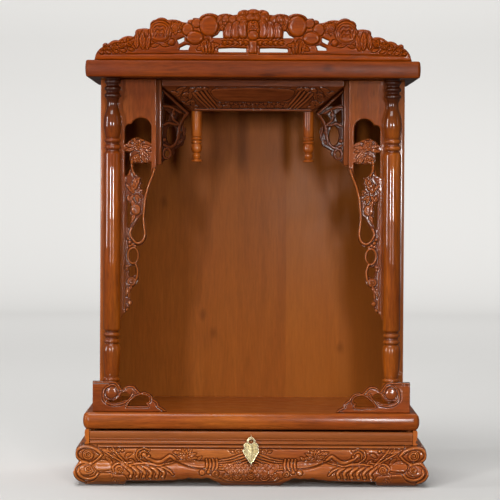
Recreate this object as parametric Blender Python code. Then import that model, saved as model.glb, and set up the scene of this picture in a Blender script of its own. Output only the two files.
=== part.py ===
# A carved tabletop altar cabinet: a base on feet with a shallow drawer in its waist, an open niche
# between two turned columns, and a pierced crest on the top board. Metres, +Z up, front towards -Y.
# The origin is on the floor, under the middle of the whole piece.

import math

import bmesh
import bpy
from mathutils import Vector
from mathutils.geometry import delaunay_2d_cdt

for leftover in list(bpy.data.objects):
    bpy.data.objects.remove(leftover, do_unlink=True)

# Clearances
GAP = 0.0003                    # between pieces that touch
SLIDE = 0.0007                  # between the drawer and what guides it

# Base, from the floor up
BASE_WIDTH = 0.582
BASE_DEPTH = 0.350
APRON_PROJECTION = 0.015        # aprons stand out this far beyond the base board
APRON_HEIGHT = 0.0725
APRON_THICKNESS = 0.040
APRON_BULGE = 0.010
APRON_CARVING = 0.0045          # height of the carving on the front apron
APRON_LIFT = 0.0095             # side and back aprons clear the floor by this between their feet
FOOT_LENGTH = 0.055             # of a foot of a side or back apron
BACK_APRON_THICKNESS = 0.020
SHELF_THICKNESS = 0.012
WAIST_HEIGHT = 0.0255
WAIST_SETBACK = 0.0035          # crown of the waist moulding in from the base board's edge
WAIST_THICKNESS = 0.008
WAIST_DEPTH = 0.006             # depth of the waist moulding's hollow
GUIDE_THICKNESS = 0.008         # the waist mouldings are this much thicker behind the drawer front
BACK_MOULDING_THICKNESS = 0.012
BASE_THICKNESS = 0.0285
BASE_NOSE = 0.009               # depth of the base board's rounding

# Niche
NICHE_HEIGHT = 0.5785
WALL_THICKNESS = 0.015
WALL_SETBACK = 0.025            # outer face of a side wall in from the base board's edge
WALL_FRONT = 0.073              # front edge of a side wall behind the base board's nose
BACK_WALL_THICKNESS = 0.009
BACK_WALL_SETBACK = 0.004
COLUMN_RADIUS = 0.0160
COLUMN_SETBACK = 0.0058         # a column's outer side in from the side wall's outer face
COLUMN_BULB = 1.0               # upper swelling, as a share of the radius
COLUMN_SIDES = 12
FACE_BOARD_WIDTH = 0.082
FACE_BOARD_LENGTH = 0.432
FACE_BOARD_THICKNESS = 0.014
FACE_CARVING = 0.0035
BRACKET_LENGTH = 0.1285
BRACKET_HEIGHT = 0.0525
BRACKET_THICKNESS = 0.016
BRACKET_CARVING = 0.0025
BRACKET_FRONT = 0.017           # front of a corner bracket behind the base board's nose
BRACKET_SETBACK = 0.016         # outer end of a corner bracket in from the base board's edge

# Canopy under the top board
CANOPY_END_RUN = 0.0517         # each slanting end comes in by this much towards the bottom
CANOPY_DROP = 0.054
CANOPY_BAND = 0.012             # upright band along the canopy's top
CANOPY_RUN = 0.048              # how far back the canopy's lower edge leans
CANOPY_FRONT = 0.078            # canopy's front behind the base board's nose
CANOPY_THICKNESS = 0.010
CANOPY_CARVING = 0.003
POST_WIDTH = 0.012
POST_DEPTH = 0.020
POST_LENGTH = 0.150
POST_LAP = 0.0033               # the post reaches this far behind its face board
SCROLL_WIDTH = 0.047            # canopy brackets, from the post towards the middle
SCROLL_LENGTH = 0.147           # from the top board down
SCROLL_THICKNESS = 0.009
SCROLL_RUN = 0.041              # how far back the bracket's inner end goes
SCROLL_CARVING = 0.002
SCROLL_CLEARANCE = 0.0035       # between a canopy bracket and the canopy's slanting end
PENDANT_LENGTH = 0.144
PENDANT_RADIUS = 0.0102
PENDANT_INSET = 0.0085          # a pendant's axis in from the canopy's lower corner
PENDANT_SIDES = 10

# Top
TOP_SETBACK = 0.002             # the top board is this much narrower than the base board, each side
TOP_THICKNESS = 0.029
TOP_NOSE = 0.010
CREST_WIDTH = 0.548
CREST_HEIGHT = 0.089
CREST_THICKNESS = 0.016
CREST_FRONT = 0.006             # front of the crest behind the top board's nose
CREST_CARVING = 0.0035

# Drawer and its drop pull
DRAWER_FRONT_TOP_GAP = 0.0035
DRAWER_FRONT_SETBACK = 0.002    # crown of the drawer front behind the base board's nose
DRAWER_FRONT_THICKNESS = 0.022
DRAWER_FRONT_DEPTH = 0.010      # depth of its moulding
DRAWER_LENGTH = 0.270           # behind the drawer front
DRAWER_WALL = 0.007
DRAWER_FLOOR = 0.004
DRAWER_WALL_HEIGHT = 0.018
PULL_WIDTH = 0.0285
PULL_LENGTH = 0.049
PULL_THICKNESS = 0.0018
PULL_CARVING = 0.0004
PULL_CLEARANCE = 0.0012         # between the plate and the front apron
PULL_HOLE = 0.0037              # radius of the hole in the plate
PULL_HOLE_DROP = 0.0086         # hole's centre below the plate's top
EYE_RADIUS = 0.0060             # to the middle of the wire
EYE_WIRE = 0.0008
EYE_SHANK = 0.0015
EYE_DROP = 0.0126               # eye's centre below the base board

# Planes and heights that follow from these
half_base = BASE_WIDTH / 2
half_apron = half_base + APRON_PROJECTION
apron_depth = BASE_DEPTH + 2 * APRON_PROJECTION
pull_proud = PULL_CLEARANCE + PULL_THICKNESS / 2 + EYE_RADIUS + EYE_WIRE
apron_front = pull_proud / 2 - apron_depth / 2
apron_back = apron_front + apron_depth
base_front = apron_front + APRON_PROJECTION
base_back = base_front + BASE_DEPTH
waist_bottom = APRON_HEIGHT + GAP
waist_top = APRON_HEIGHT + WAIST_HEIGHT
base_bottom = waist_top + GAP
base_top = base_bottom + BASE_THICKNESS
niche_bottom = base_top + GAP
niche_top = niche_bottom + NICHE_HEIGHT
top_bottom = niche_top + GAP
top_top = top_bottom + TOP_THICKNESS
crest_bottom = top_top + GAP
wall_outer = half_base - WALL_SETBACK
wall_inner = wall_outer - WALL_THICKNESS
wall_front = base_front + WALL_FRONT
back_wall_front = base_back - BACK_WALL_SETBACK - BACK_WALL_THICKNESS
column_y = wall_front - GAP - COLUMN_RADIUS * max(1.0, COLUMN_BULB)
column_x = wall_outer - COLUMN_SETBACK - COLUMN_RADIUS
face_board_inner = wall_inner - GAP - FACE_BOARD_WIDTH
post_outer = face_board_inner + POST_LAP
post_inner = post_outer - POST_WIDTH
canopy_front = base_front + CANOPY_FRONT
canopy_half_top = post_inner - GAP
canopy_half_bottom = canopy_half_top - CANOPY_END_RUN

ARC_STEP = math.radians(38)     # each facet of a curved outline turns by about this much


# Materials

def wood(name, colour, roughness):
    made = bpy.data.materials.new(name)
    made.use_nodes = True
    shader = made.node_tree.nodes["Principled BSDF"]
    shader.inputs["Base Color"].default_value = (*colour, 1.0)
    shader.inputs["Roughness"].default_value = roughness
    return made


def metal(name, colour, roughness):
    made = wood(name, colour, roughness)
    made.node_tree.nodes["Principled BSDF"].inputs["Metallic"].default_value = 1.0
    return made


frame_wood = wood("frame_wood", (0.26, 0.085, 0.025), 0.22)
column_wood = wood("column_wood", (0.36, 0.12, 0.025), 0.18)
carved_wood = wood("carved_wood", (0.30, 0.085, 0.015), 0.24)
panel_wood = wood("panel_wood", (0.17, 0.062, 0.022), 0.30)
canopy_wood = wood("canopy_wood", (0.09, 0.020, 0.010), 0.22)
drawer_wood = wood("drawer_wood", (0.30, 0.16, 0.075), 0.50)
brass = metal("brass", (0.87, 0.72, 0.38), 0.25)


# Placing: each piece is a child of the body that carries it

def empty(name, place, parent=None):
    made = bpy.data.objects.new(name, None)
    bpy.context.scene.collection.objects.link(made)
    made.location = place
    if parent:
        made.parent = parent
        made.location = Vector(place) - parent.matrix_world.translation
    bpy.context.view_layer.update()
    return made


def add_piece(name, build, finish, body):
    """Makes an object of a bmesh built in the cabinet's frame, with its own origin at its middle."""
    bmesh.ops.recalc_face_normals(build, faces=build.faces)
    corners = [vertex.co.copy() for vertex in build.verts]
    low = Vector(min(co[i] for co in corners) for i in range(3))
    high = Vector(max(co[i] for co in corners) for i in range(3))
    middle = (low + high) / 2
    bmesh.ops.translate(build, verts=build.verts, vec=-middle)
    mesh = bpy.data.meshes.new(name)
    build.to_mesh(mesh)
    build.free()
    mesh.materials.append(finish)
    mesh.shade_smooth()
    mesh.set_sharp_from_angle(angle=math.radians(40))
    piece = bpy.data.objects.new(name, mesh)
    bpy.context.scene.collection.objects.link(piece)
    piece.parent = body
    piece.location = middle - body.matrix_world.translation
    return piece


# Plain shapes

def loft(name, rings, finish, body):
    """Joins rings of equal count into one skin and closes both ends with a flat face."""
    build = bmesh.new()
    rows = [[build.verts.new(point) for point in ring] for ring in rings]
    for near, far in zip(rows, rows[1:]):
        for i in range(len(near)):
            j = (i + 1) % len(near)
            build.faces.new((near[i], near[j], far[j], far[i]))
    build.faces.new(list(reversed(rows[0])))
    build.faces.new(rows[-1])
    return add_piece(name, build, finish, body)


def box(name, low, high, finish, body):
    rings = [
        [(low[0], low[1], z), (high[0], low[1], z), (high[0], high[1], z), (low[0], high[1], z)]
        for z in (low[2], high[2])
    ]
    return loft(name, rings, finish, body)


def nosed_board(name, low, high, nose, finish, body):
    """A board whose edges are rounded all round: nose is how deep the rounding goes in."""
    half = (high[2] - low[2]) / 2
    steps = 6
    rings = []
    for step in range(steps + 1):
        angle = math.pi * (step / steps - 0.5)
        inset = nose * (1 - math.cos(angle) ** 0.7) if abs(angle) < math.pi / 2 else nose
        z = low[2] + half + half * math.sin(angle)
        left, right = low[0] + inset, high[0] - inset
        front, back = low[1] + inset, high[1] - inset
        rings.append([(left, front, z), (right, front, z), (right, back, z), (left, back, z)])
    return loft(name, rings, finish, body)


def turned(name, profile, sides, foot, length, radius, finish, body):
    """A turned piece. The profile is (height as a share of the length, radius as a share)."""
    rings = []
    for height, share in profile:
        rings.append([
            (
                foot[0] + radius * share * math.cos(2 * math.pi * (side + 0.5) / sides),
                foot[1] + radius * share * math.sin(2 * math.pi * (side + 0.5) / sides),
                foot[2] + length * height,
            )
            for side in range(sides)
        ])
    return loft(name, rings, finish, body)


def combine(piece, helper, operation):
    helper.hide_render = True
    helper.display_type = "WIRE"
    combining = piece.modifiers.new(operation.lower(), "BOOLEAN")
    combining.operation = operation
    combining.solver = "EXACT"
    combining.object = helper


def cut(piece, helper):
    combine(piece, helper, "DIFFERENCE")


def join(piece, helper):
    combine(piece, helper, "UNION")


# Outlines made of arcs

def arcs(knots, down=False):
    """A closed chain of arcs: a knot is (a, b, rise), rise being how far the arc to the next
    knot bows outwards on an outline that runs anticlockwise. On a drawing whose b runs down
    the board, down is True."""
    points = []
    side = -1 if down else 1
    for (a, b, rise), (next_a, next_b, _) in zip(knots, knots[1:] + knots[:1]):
        start, end = Vector((a, b)), Vector((next_a, next_b))
        points.append(start)
        chord = end - start
        if abs(rise) < 1e-9 or chord.length < 1e-9:
            continue
        turn = 4 * math.atan2(2 * abs(rise), chord.length)
        count = max(2, math.ceil(turn / ARC_STEP))
        radius = chord.length / 2 / math.sin(turn / 2)
        right = Vector((chord.y, -chord.x)).normalized() * (side if rise > 0 else -side)
        centre = start + chord / 2 - right * radius * math.cos(turn / 2)
        for i in range(1, count):
            angle = turn * (i / count - 0.5)
            points.append(
                centre + right * radius * math.cos(angle) + chord.normalized() * radius * math.sin(angle)
            )
    return points


def mirrored(knots):
    """The whole outline of a board whose right half is given, from the middle or the outer end up
    to the middle of the other side."""
    whole = list(knots[:-1])
    last_a, last_b, _ = knots[-1]
    whole.append((last_a, last_b, knots[-2][2]))
    first = 1 if abs(knots[0][0]) < 1e-9 else 0
    for i in range(len(knots) - 2, first - 1, -1):
        rise = knots[i - 1][2] if i > 0 else 0
        whole.append((-knots[i][0], knots[i][1], rise))
    return whole


def ellipse(a, b, radius_a, radius_b, sides=8):
    return [
        Vector((
            a + radius_a * math.cos(2 * math.pi * i / sides),
            b + radius_b * math.sin(2 * math.pi * i / sides),
        ))
        for i in range(sides)
    ]


def inside(point, loops):
    """True if the point is inside an odd number of the loops."""
    crossings = 0
    for loop in loops:
        for start, end in zip(loop, loop[1:] + loop[:1]):
            if (start[1] > point[1]) == (end[1] > point[1]):
                continue
            share = (point[1] - start[1]) / (end[1] - start[1])
            if start[0] + share * (end[0] - start[0]) > point[0]:
                crossings += 1
    return crossings % 2 == 1


# Carving: a motif is a list of ridges, and a ridge is a chain of (a, b, half width, height)

def tendril(points, width, height=1.0):
    last = len(points) - 1
    return [[
        (a, b, width * (0.6 if i in (0, last) else 1.0), height * (0.5 if i in (0, last) else 1.0))
        for i, (a, b) in enumerate(points)
    ]]


def leaf(a, b, heading, length, width, height=1.0, bend=0.0):
    """A pointed leaf that starts at (a, b); heading and bend are in degrees."""
    chain = []
    shares = ((0.0, 0.5, 0.5), (0.45, 1.0, 1.0), (1.0, 0.3, 0.2))
    for share, wide, tall in shares:
        angle = math.radians(heading + bend * share)
        chain.append((
            a + length * share * math.cos(angle),
            b + length * share * math.sin(angle),
            width * wide,
            height * tall,
        ))
    return [chain]


def spray(a, b, heading, length, count, spread, width, height=1.0):
    """Leaves that fan out from one point."""
    ridges = []
    for i in range(count):
        turn = spread * (i / (count - 1) - 0.5)
        ridges += leaf(a, b, heading + turn, length * (1 - abs(turn) / 260), width, height)
    return ridges


def scroll(a, b, radius, heading, turns, hand, width, height=1.0):
    """A spiral from its outer end inwards. hand is 1 anticlockwise and -1 clockwise."""
    count = max(4, round(turns * 7))
    chain = []
    for i in range(count + 1):
        share = i / count
        reach = radius * (1 - 0.72 * share)
        angle = math.radians(heading) + hand * 2 * math.pi * turns * share
        chain.append((
            a + reach * math.cos(angle),
            b + reach * math.sin(angle),
            width * (1 - 0.35 * share),
            height * (0.5 if i == 0 else 1.0),
        ))
    return [chain]


def rosette(a, b, radius, petals, height=1.0):
    ridges = [[(a, b, radius * 0.3, height)]]
    for i in range(petals):
        angle = 2 * math.pi * i / petals + math.pi / 2
        chain = [
            (a + radius * share * math.cos(angle), b + radius * share * math.sin(angle),
             radius * 0.3, height * 0.75)
            for share in (0.5, 0.86)
        ]
        ridges.append(chain)
    return ridges


def ball(a, b, radius, height=1.0):
    return [[(a, b, radius, height)]]


def ribs(a, b, step_a, step_b, count, lean_a, lean_b, width, height=1.0):
    """Slanted ribs side by side: each runs from its foot by the lean."""
    ridges = []
    for i in range(count):
        foot_a, foot_b = a + step_a * i, b + step_b * i
        ridges.append([
            (foot_a, foot_b, width, height),
            (foot_a + lean_a, foot_b + lean_b, width, height),
        ])
    return ridges


def both(ridges):
    """The ridges and their mirror images across a = 0."""
    return ridges + [[(-a, b, width, height) for a, b, width, height in chain] for chain in ridges]


def carved_height(a, b, ridges):
    """How high the carving stands at a point: each ridge falls away evenly to nothing."""
    highest = 0.0
    for chain in ridges:
        if len(chain) == 1:
            at_a, at_b, width, height = chain[0]
            away = math.hypot(a - at_a, b - at_b) / width
            highest = max(highest, height * min(1.0, 1.6 * (1 - away)))
            continue
        for (a0, b0, w0, h0), (a1, b1, w1, h1) in zip(chain, chain[1:]):
            run_a, run_b = a1 - a0, b1 - b0
            length = run_a * run_a + run_b * run_b
            share = ((a - a0) * run_a + (b - b0) * run_b) / length if length else 0.0
            share = min(1.0, max(0.0, share))
            away = math.hypot(a - a0 - share * run_a, b - b0 - share * run_b)
            width = w0 + share * (w1 - w0)
            if away < width:
                highest = max(highest, (h0 + share * (h1 - h0)) * (1 - away / width))
    return highest


def edge_distance(point, loops):
    """Distance from a point to the nearest edge of the loops."""
    nearest = math.inf
    for loop in loops:
        for start, end in zip(loop, loop[1:] + loop[:1]):
            along = end - start
            share = min(1.0, max(0.0, (point - start).dot(along) / along.length_squared))
            nearest = min(nearest, (point - start - along * share).length)
    return nearest


def kept_carving(points, lines, loops, clear):
    """Leaves out the points that are off the board or too near its edges or each other, and the
    ridge lines that lose an end or leave the board."""
    kept, rank = [], {}
    for i, point in enumerate(points):
        point = Vector(point)
        if not inside(point, loops) or edge_distance(point, loops) < clear:
            continue
        if any((point - other).length < clear for other in kept):
            continue
        rank[i] = len(kept)
        kept.append(point)
    kept_lines = []
    for i, j in lines:
        if i not in rank or j not in rank:
            continue
        start, end = kept[rank[i]], kept[rank[j]]
        steps = [start.lerp(end, share / 6) for share in range(1, 6)]
        if all(inside(step, loops) and edge_distance(step, loops) > clear / 2 for step in steps):
            kept_lines.append((rank[i], rank[j]))
    return kept, kept_lines


def carving_points(ridges):
    """The points that show a carving, ridge points with the feet of their slopes, and the
    ridge lines as pairs of points."""
    points, lines = [], []
    for chain in ridges:
        if len(chain) == 1:
            a, b, width, _ = chain[0]
            points.append((a, b))
            points += [tuple(point) for point in ellipse(a, b, width, width, 6)]
            continue
        first = len(points)
        points += [(a, b) for a, b, _, _ in chain]
        lines += [(first + i, first + i + 1) for i in range(len(chain) - 1)]
        ends = (0, len(chain) - 1) if len(chain) > 2 else ()
        for i, (a, b, width, _) in enumerate(chain):
            if i in ends:
                continue
            before, after = chain[max(i - 1, 0)], chain[min(i + 1, len(chain) - 1)]
            along = Vector((after[0] - before[0], after[1] - before[1])).normalized()
            across = (-along.y * width, along.x * width)
            points += [(a + across[0], b + across[1]), (a - across[0], b - across[1])]
    return points, lines


def carved_board(name, drawing, unit, carving, thickness, place, finish, body, bulge=None, rows=()):
    """A board cut to an outline with holes, its face raised by ridges and its back flat.
    The drawing is in units of its own, and unit is the size of one of them along and up the board.
    place(a, b, h) gives the point of the cabinet at (a, b) on the board and h above its face."""
    outline, holes, ridges = drawing
    loops = [outline] + holes
    points, edges = [], []
    for loop in loops:
        first = len(points)
        points += [Vector(point) for point in loop]
        edges += [(first + i, first + (i + 1) % len(loop)) for i in range(len(loop))]
    for row in rows:
        edges.append((len(points), len(points) + 1))
        points += [Vector(row[0]), Vector(row[1])]
    first = len(points)
    ridge_points, ridge_lines = kept_carving(*carving_points(ridges), loops, 1.0)
    points += ridge_points
    edges += [(first + i, first + j) for i, j in ridge_lines]
    found = delaunay_2d_cdt(points, edges, [], 0, 0.2)
    flat, faces = found[0], found[2]

    def middle_inside(face, where):
        middle = sum((where[i] for i in face), Vector((0, 0))) / 3
        return inside(middle, loops)

    front = [tuple(face) for face in faces if middle_inside(face, flat)]
    rim = {}
    for face in front:
        for i, j in zip(face, face[1:] + face[:1]):
            if (j, i) in rim:
                del rim[(j, i)]
            else:
                rim[(i, j)] = True
    rim_points = sorted({i for pair in rim for i in pair})
    rank = {point: i for i, point in enumerate(rim_points)}
    back_flat = [flat[i] for i in rim_points]
    rim_edges = [(rank[i], rank[j]) for i, j in rim]
    back_found = delaunay_2d_cdt(back_flat, rim_edges, [], 0, 1e-5)
    back = [tuple(face) for face in back_found[2] if middle_inside(face, back_found[0])]
    source = [inputs[0] for inputs in back_found[3]]

    build = bmesh.new()
    front_vertices = {}
    for i in sorted({i for face in front for i in face}):
        a, b = flat[i]
        height = carving * carved_height(a, b, ridges) + (bulge(b) if bulge else 0.0)
        front_vertices[i] = build.verts.new(place(a * unit[0], b * unit[1], height))
    back_vertices = [
        build.verts.new(place(flat[i].x * unit[0], flat[i].y * unit[1], -thickness)) for i in rim_points
    ]
    for face in front:
        build.faces.new([front_vertices[i] for i in face])
    for face in back:
        build.faces.new([back_vertices[source[i]] for i in reversed(face)])
    for i, j in rim:
        build.faces.new((
            front_vertices[j], front_vertices[i], back_vertices[rank[i]], back_vertices[rank[j]],
        ))
    return add_piece(name, build, finish, body)


# The bodies: the cabinet stands still, the drawer slides, and the pull swings about its eye

cabinet = empty("cabinet", (0, 0, 0))
eye_y = apron_front - PULL_CLEARANCE - PULL_THICKNESS / 2
eye_z = base_bottom - EYE_DROP
drawer_slide = empty("drawer_slide", (0, base_front, waist_bottom), cabinet)
pull_swing = empty("pull_swing", (0, eye_y, eye_z), drawer_slide)

# Aprons: the section swells in two lobes, drawn as (share of the height, share of the bulge)
APRON_SECTION = (
    (0.0, -1.5), (0.05, -0.7), (0.14, 0.35), (0.30, 1.0), (0.45, 0.75),
    (0.575, 0.15), (0.68, 0.55), (0.80, 0.65), (0.93, 0.45), (1.0, -0.15),
)
APRON_DRAWING = (306.0, 72.5)   # half the width and the height that the front apron is drawn in


def apron_swell(share):
    """How far the section stands out at a share of the apron's height."""
    for (low, low_swell), (high, high_swell) in zip(APRON_SECTION, APRON_SECTION[1:]):
        if share <= high:
            return APRON_BULGE * (low_swell + (high_swell - low_swell) * (share - low) / (high - low))
    return APRON_BULGE * APRON_SECTION[-1][1]


def front_apron_drawing(unit):
    half, height = APRON_DRAWING
    foot_inner = 215.0
    bottom = [
        (0, 0, 0), (50, 0, -1.5), (66, 11, -1.0), (77, 15.5, 1.5), (92, 14.5, 1.5),
        (107, 15.5, 1.5), (124, 12.5, 1.2), (141, 10.5, 1.0), (178, 9.5, 0.8), (foot_inner, 9.5, 0),
        (foot_inner, 0, 0),
    ]
    end = [
        (half + (apron_swell(share) - APRON_BULGE) / unit[0], height * share, 0)
        for share, _ in APRON_SECTION
    ]
    outline = arcs(mirrored(bottom + end + [(0, height, 0)]))
    ridges = both(
        scroll(282, 55, 10, 200, 1.4, -1, 3.4)
        + scroll(283, 27, 13, 60, 1.1, 1, 4.2)
        + scroll(229, 27, 8, 170, 1.2, -1, 3.0)
        + ball(240, 8, 5)
        + tendril([(270, 18), (262, 33), (245, 35), (235, 38)], 3.5)
        + spray(236, 56, 110, 14, 3, 90, 3.2)
        + tendril([(268, 60), (257, 52), (250, 62)], 2.6)
        + leaf(222, 52, 200, 15, 3.6)
        + leaf(262, 45, 150, 16, 4.0)
        + ribs(208, 34, -11.5, -3.2, 6, 5, -15, 3.0)
        + tendril([(198, 52), (185, 41), (172, 42), (158, 43)], 2.6)
        + scroll(186, 57, 9, 330, 1.0, 1, 3.0)
        + ball(173, 52, 3.6)
        + tendril([(166, 44), (152, 50), (141, 56)], 2.6)
        + spray(128, 48, 120, 15, 3, 70, 3.4)
        + leaf(124, 52, 350, 18, 3.6)
        + leaf(104, 58, 215, 16, 3.6)
        + ball(110, 46, 4.4)
        + tendril([(159, 35), (139, 39), (116, 34), (93, 30)], 2.6)
        + ribs(82, 31, -8.5, 1.0, 3, 4, 14, 3.0)
        + ball(84, 24, 5.4)
        + ball(65, 24, 4.2)
        + tendril([(60, 39), (36, 44), (12, 49)], 3.0)
        + spray(30, 50, 60, 13, 3, 90, 2.8)
        + leaf(48, 54, 160, 14, 3.0)
        + rosette(35, 19, 9, 5)
        + tendril([(54, 22), (44, 31), (24, 33)], 2.6)
        + tendril([(52, 6), (26, 6), (4, 6)], 2.6)
    ) + rosette(0, 21, 11, 6)
    return outline, [], ridges


def make_aprons():
    half, height = APRON_DRAWING
    unit = (half_apron / half, APRON_HEIGHT / height)
    face = apron_front + APRON_BULGE + APRON_CARVING
    carved_board(
        "front_apron", front_apron_drawing(unit), unit, APRON_CARVING,
        APRON_THICKNESS - APRON_BULGE - APRON_CARVING,
        lambda a, b, h: (a, face - h, b), carved_wood, cabinet,
        bulge=lambda b: apron_swell(b / height),
        rows=[
            ((-half + 20, height * share), (half - 20, height * share)) for share in (0.30, 0.575, 0.80)
        ],
    )
    start = apron_front + APRON_THICKNESS + GAP
    for side, name in ((-1, "left_apron"), (1, "right_apron")):
        section = [(side * (half_apron - APRON_THICKNESS), z) for z in (APRON_HEIGHT, 0.0)]
        section += [
            (side * (half_apron - APRON_BULGE + apron_swell(share)), share * APRON_HEIGHT)
            for share, _ in APRON_SECTION
        ]
        rings = [[(x, y, z) for x, z in section] for y in (start, apron_back)]
        apron = loft(name, rings, frame_wood, cabinet)
        reach = side * (half_apron + APRON_THICKNESS)
        near, far = sorted((reach, side * (half_apron - 2 * APRON_THICKNESS)))
        lift = box(
            name + "_lift", (near, start + FOOT_LENGTH, -APRON_LIFT),
            (far, apron_back - FOOT_LENGTH, APRON_LIFT), frame_wood, cabinet,
        )
        cut(apron, lift)
    inner = half_apron - APRON_THICKNESS - GAP
    slope = APRON_LIFT / 2
    outline = [
        (-inner, 0), (-inner + FOOT_LENGTH, 0), (-inner + FOOT_LENGTH + slope, APRON_LIFT),
        (inner - FOOT_LENGTH - slope, APRON_LIFT), (inner - FOOT_LENGTH, 0), (inner, 0),
        (inner, APRON_HEIGHT), (-inner, APRON_HEIGHT),
    ]
    rings = [[(x, y, z) for x, z in outline] for y in (apron_back - BACK_APRON_THICKNESS, apron_back)]
    loft("back_apron", rings, frame_wood, cabinet)
    box(
        "drawer_shelf",
        (-inner, apron_front + APRON_THICKNESS + GAP, APRON_HEIGHT - SHELF_THICKNESS),
        (inner, apron_back - BACK_APRON_THICKNESS - GAP, APRON_HEIGHT), drawer_wood, cabinet,
    )


# Waist: the section is (share of the depth in from the crown, share of the height)
WAIST_SECTION = (
    (0.28, 1.0), (0.04, 0.90), (0.0, 0.70), (0.10, 0.50), (0.75, 0.42),
    (0.80, 0.30), (0.50, 0.16), (0.0, 0.07), (0.0, 0.0),
)


def make_waist():
    height = waist_top - waist_bottom
    crown = half_base - WAIST_SETBACK
    guide_start = base_front + DRAWER_FRONT_SETBACK + DRAWER_FRONT_THICKNESS + GAP
    back = apron_back - BACK_APRON_THICKNESS
    for side, name in ((-1, "left_waist_moulding"), (1, "right_waist_moulding")):
        rings = []
        stations = (
            (base_front + DRAWER_FRONT_SETBACK, WAIST_THICKNESS),
            (guide_start, WAIST_THICKNESS),
            (guide_start + GAP, WAIST_THICKNESS + GUIDE_THICKNESS),
            (back, WAIST_THICKNESS + GUIDE_THICKNESS),
        )
        for y, thickness in stations:
            ring = [
                (side * (crown - inward * WAIST_DEPTH), y, waist_bottom + height * up)
                for inward, up in WAIST_SECTION
            ]
            ring += [(side * (crown - thickness), y, z) for z in (waist_bottom, waist_top)]
            rings.append(ring)
        loft(name, rings, frame_wood, cabinet)
    inner = crown - WAIST_THICKNESS - GUIDE_THICKNESS - GAP
    box(
        "back_waist_moulding", (-inner, back - BACK_MOULDING_THICKNESS, waist_bottom),
        (inner, back, waist_top), frame_wood, cabinet,
    )


def make_drawer():
    half_front = half_base - WAIST_SETBACK - WAIST_THICKNESS - SLIDE
    front = base_front + DRAWER_FRONT_SETBACK
    back = front + DRAWER_FRONT_THICKNESS
    bottom = APRON_HEIGHT + SLIDE
    top = base_bottom - DRAWER_FRONT_TOP_GAP
    rings = []
    for x in (-half_front, half_front):
        ring = [
            (x, front + inward * DRAWER_FRONT_DEPTH, bottom + (top - bottom) * up)
            for inward, up in WAIST_SECTION
        ]
        ring += [(x, back, bottom), (x, back, top)]
        rings.append(ring)
    loft("drawer_front", rings, frame_wood, drawer_slide)

    half_box = half_base - WAIST_SETBACK - WAIST_THICKNESS - GUIDE_THICKNESS - SLIDE
    start, end = back + GAP, back + GAP + DRAWER_LENGTH
    wall_top = bottom + DRAWER_WALL_HEIGHT
    box(
        "drawer_bottom", (-half_box, start, bottom), (half_box, end, bottom + DRAWER_FLOOR),
        drawer_wood, drawer_slide,
    )
    floor_top = bottom + DRAWER_FLOOR + GAP
    for side, name in ((-1, "drawer_left_side"), (1, "drawer_right_side")):
        near, far = sorted((side * half_box, side * (half_box - DRAWER_WALL)))
        box(name, (near, start, floor_top), (far, end, wall_top), drawer_wood, drawer_slide)
    inner = half_box - DRAWER_WALL - GAP
    box(
        "drawer_back", (-inner, end - DRAWER_WALL, floor_top), (inner, end, wall_top),
        drawer_wood, drawer_slide,
    )


def make_eye():
    """A ring in the plane of Y and Z on the end of a shank that leaves the drawer front."""
    around, across = 14, 6
    front = base_front + DRAWER_FRONT_SETBACK
    build = bmesh.new()
    grid = []
    for i in range(around):
        turn = 2 * math.pi * (i + 0.5) / around
        row = []
        for j in range(across):
            tilt = 2 * math.pi * j / across
            reach = EYE_RADIUS + EYE_WIRE * math.cos(tilt)
            row.append(build.verts.new((
                EYE_WIRE * math.sin(tilt), eye_y + reach * math.cos(turn), eye_z + reach * math.sin(turn),
            )))
        grid.append(row)
    for i in range(around):
        for j in range(across):
            build.faces.new((
                grid[i][j], grid[(i + 1) % around][j],
                grid[(i + 1) % around][(j + 1) % across], grid[i][(j + 1) % across],
            ))
    bmesh.ops.recalc_face_normals(build, faces=build.faces)
    mesh = bpy.data.meshes.new("eye_ring")
    build.to_mesh(mesh)
    build.free()
    ring = bpy.data.objects.new("eye_ring", mesh)
    bpy.context.scene.collection.objects.link(ring)

    shank_start = eye_y + EYE_RADIUS
    shank_end = front - GAP
    rings = [
        [
            (EYE_SHANK * math.cos(turn), y, eye_z + EYE_SHANK * math.sin(turn))
            for turn in (2 * math.pi * k / 8 for k in range(8))
        ]
        for y in (shank_start, shank_end)
    ]
    eye = loft("pull_eye", rings, brass, drawer_slide)
    join(eye, ring)


def make_pull():
    """The drop: two pairs of lobes over a body that narrows to a point. Its right half is drawn
    in millimetres, up from the point."""
    half = [
        (0, -49, 0.8), (14.25, -26.5, 1.4), (11.0, -19.5, 1.6), (12.2, -14.5, 1.6), (6.6, -10.4, 1.2),
        (7.2, -6.0, 1.2), (0, 0, 0),
    ]
    outline = arcs(mirrored(half))
    unit = (PULL_WIDTH / PULL_DRAWING[0], PULL_LENGTH / PULL_DRAWING[1])
    hole = ellipse(0, -PULL_HOLE_DROP / unit[1], PULL_HOLE / unit[0], PULL_HOLE / unit[1], 10)
    ridges = both(leaf(1.5, -18, -40, 10, 2.0) + leaf(1.5, -27, -52, 11, 2.0))
    ridges += tendril([(0, -16), (0, -30), (0, -44)], 2.0)
    top = eye_z - EYE_RADIUS + PULL_HOLE_DROP
    face = eye_y - PULL_THICKNESS / 2 + PULL_CARVING
    carved_board(
        "pull_plate", (outline, [hole], ridges), unit, PULL_CARVING, PULL_THICKNESS - PULL_CARVING,
        lambda a, b, h: (a, face - h, top + b), brass, pull_swing,
    )


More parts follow.
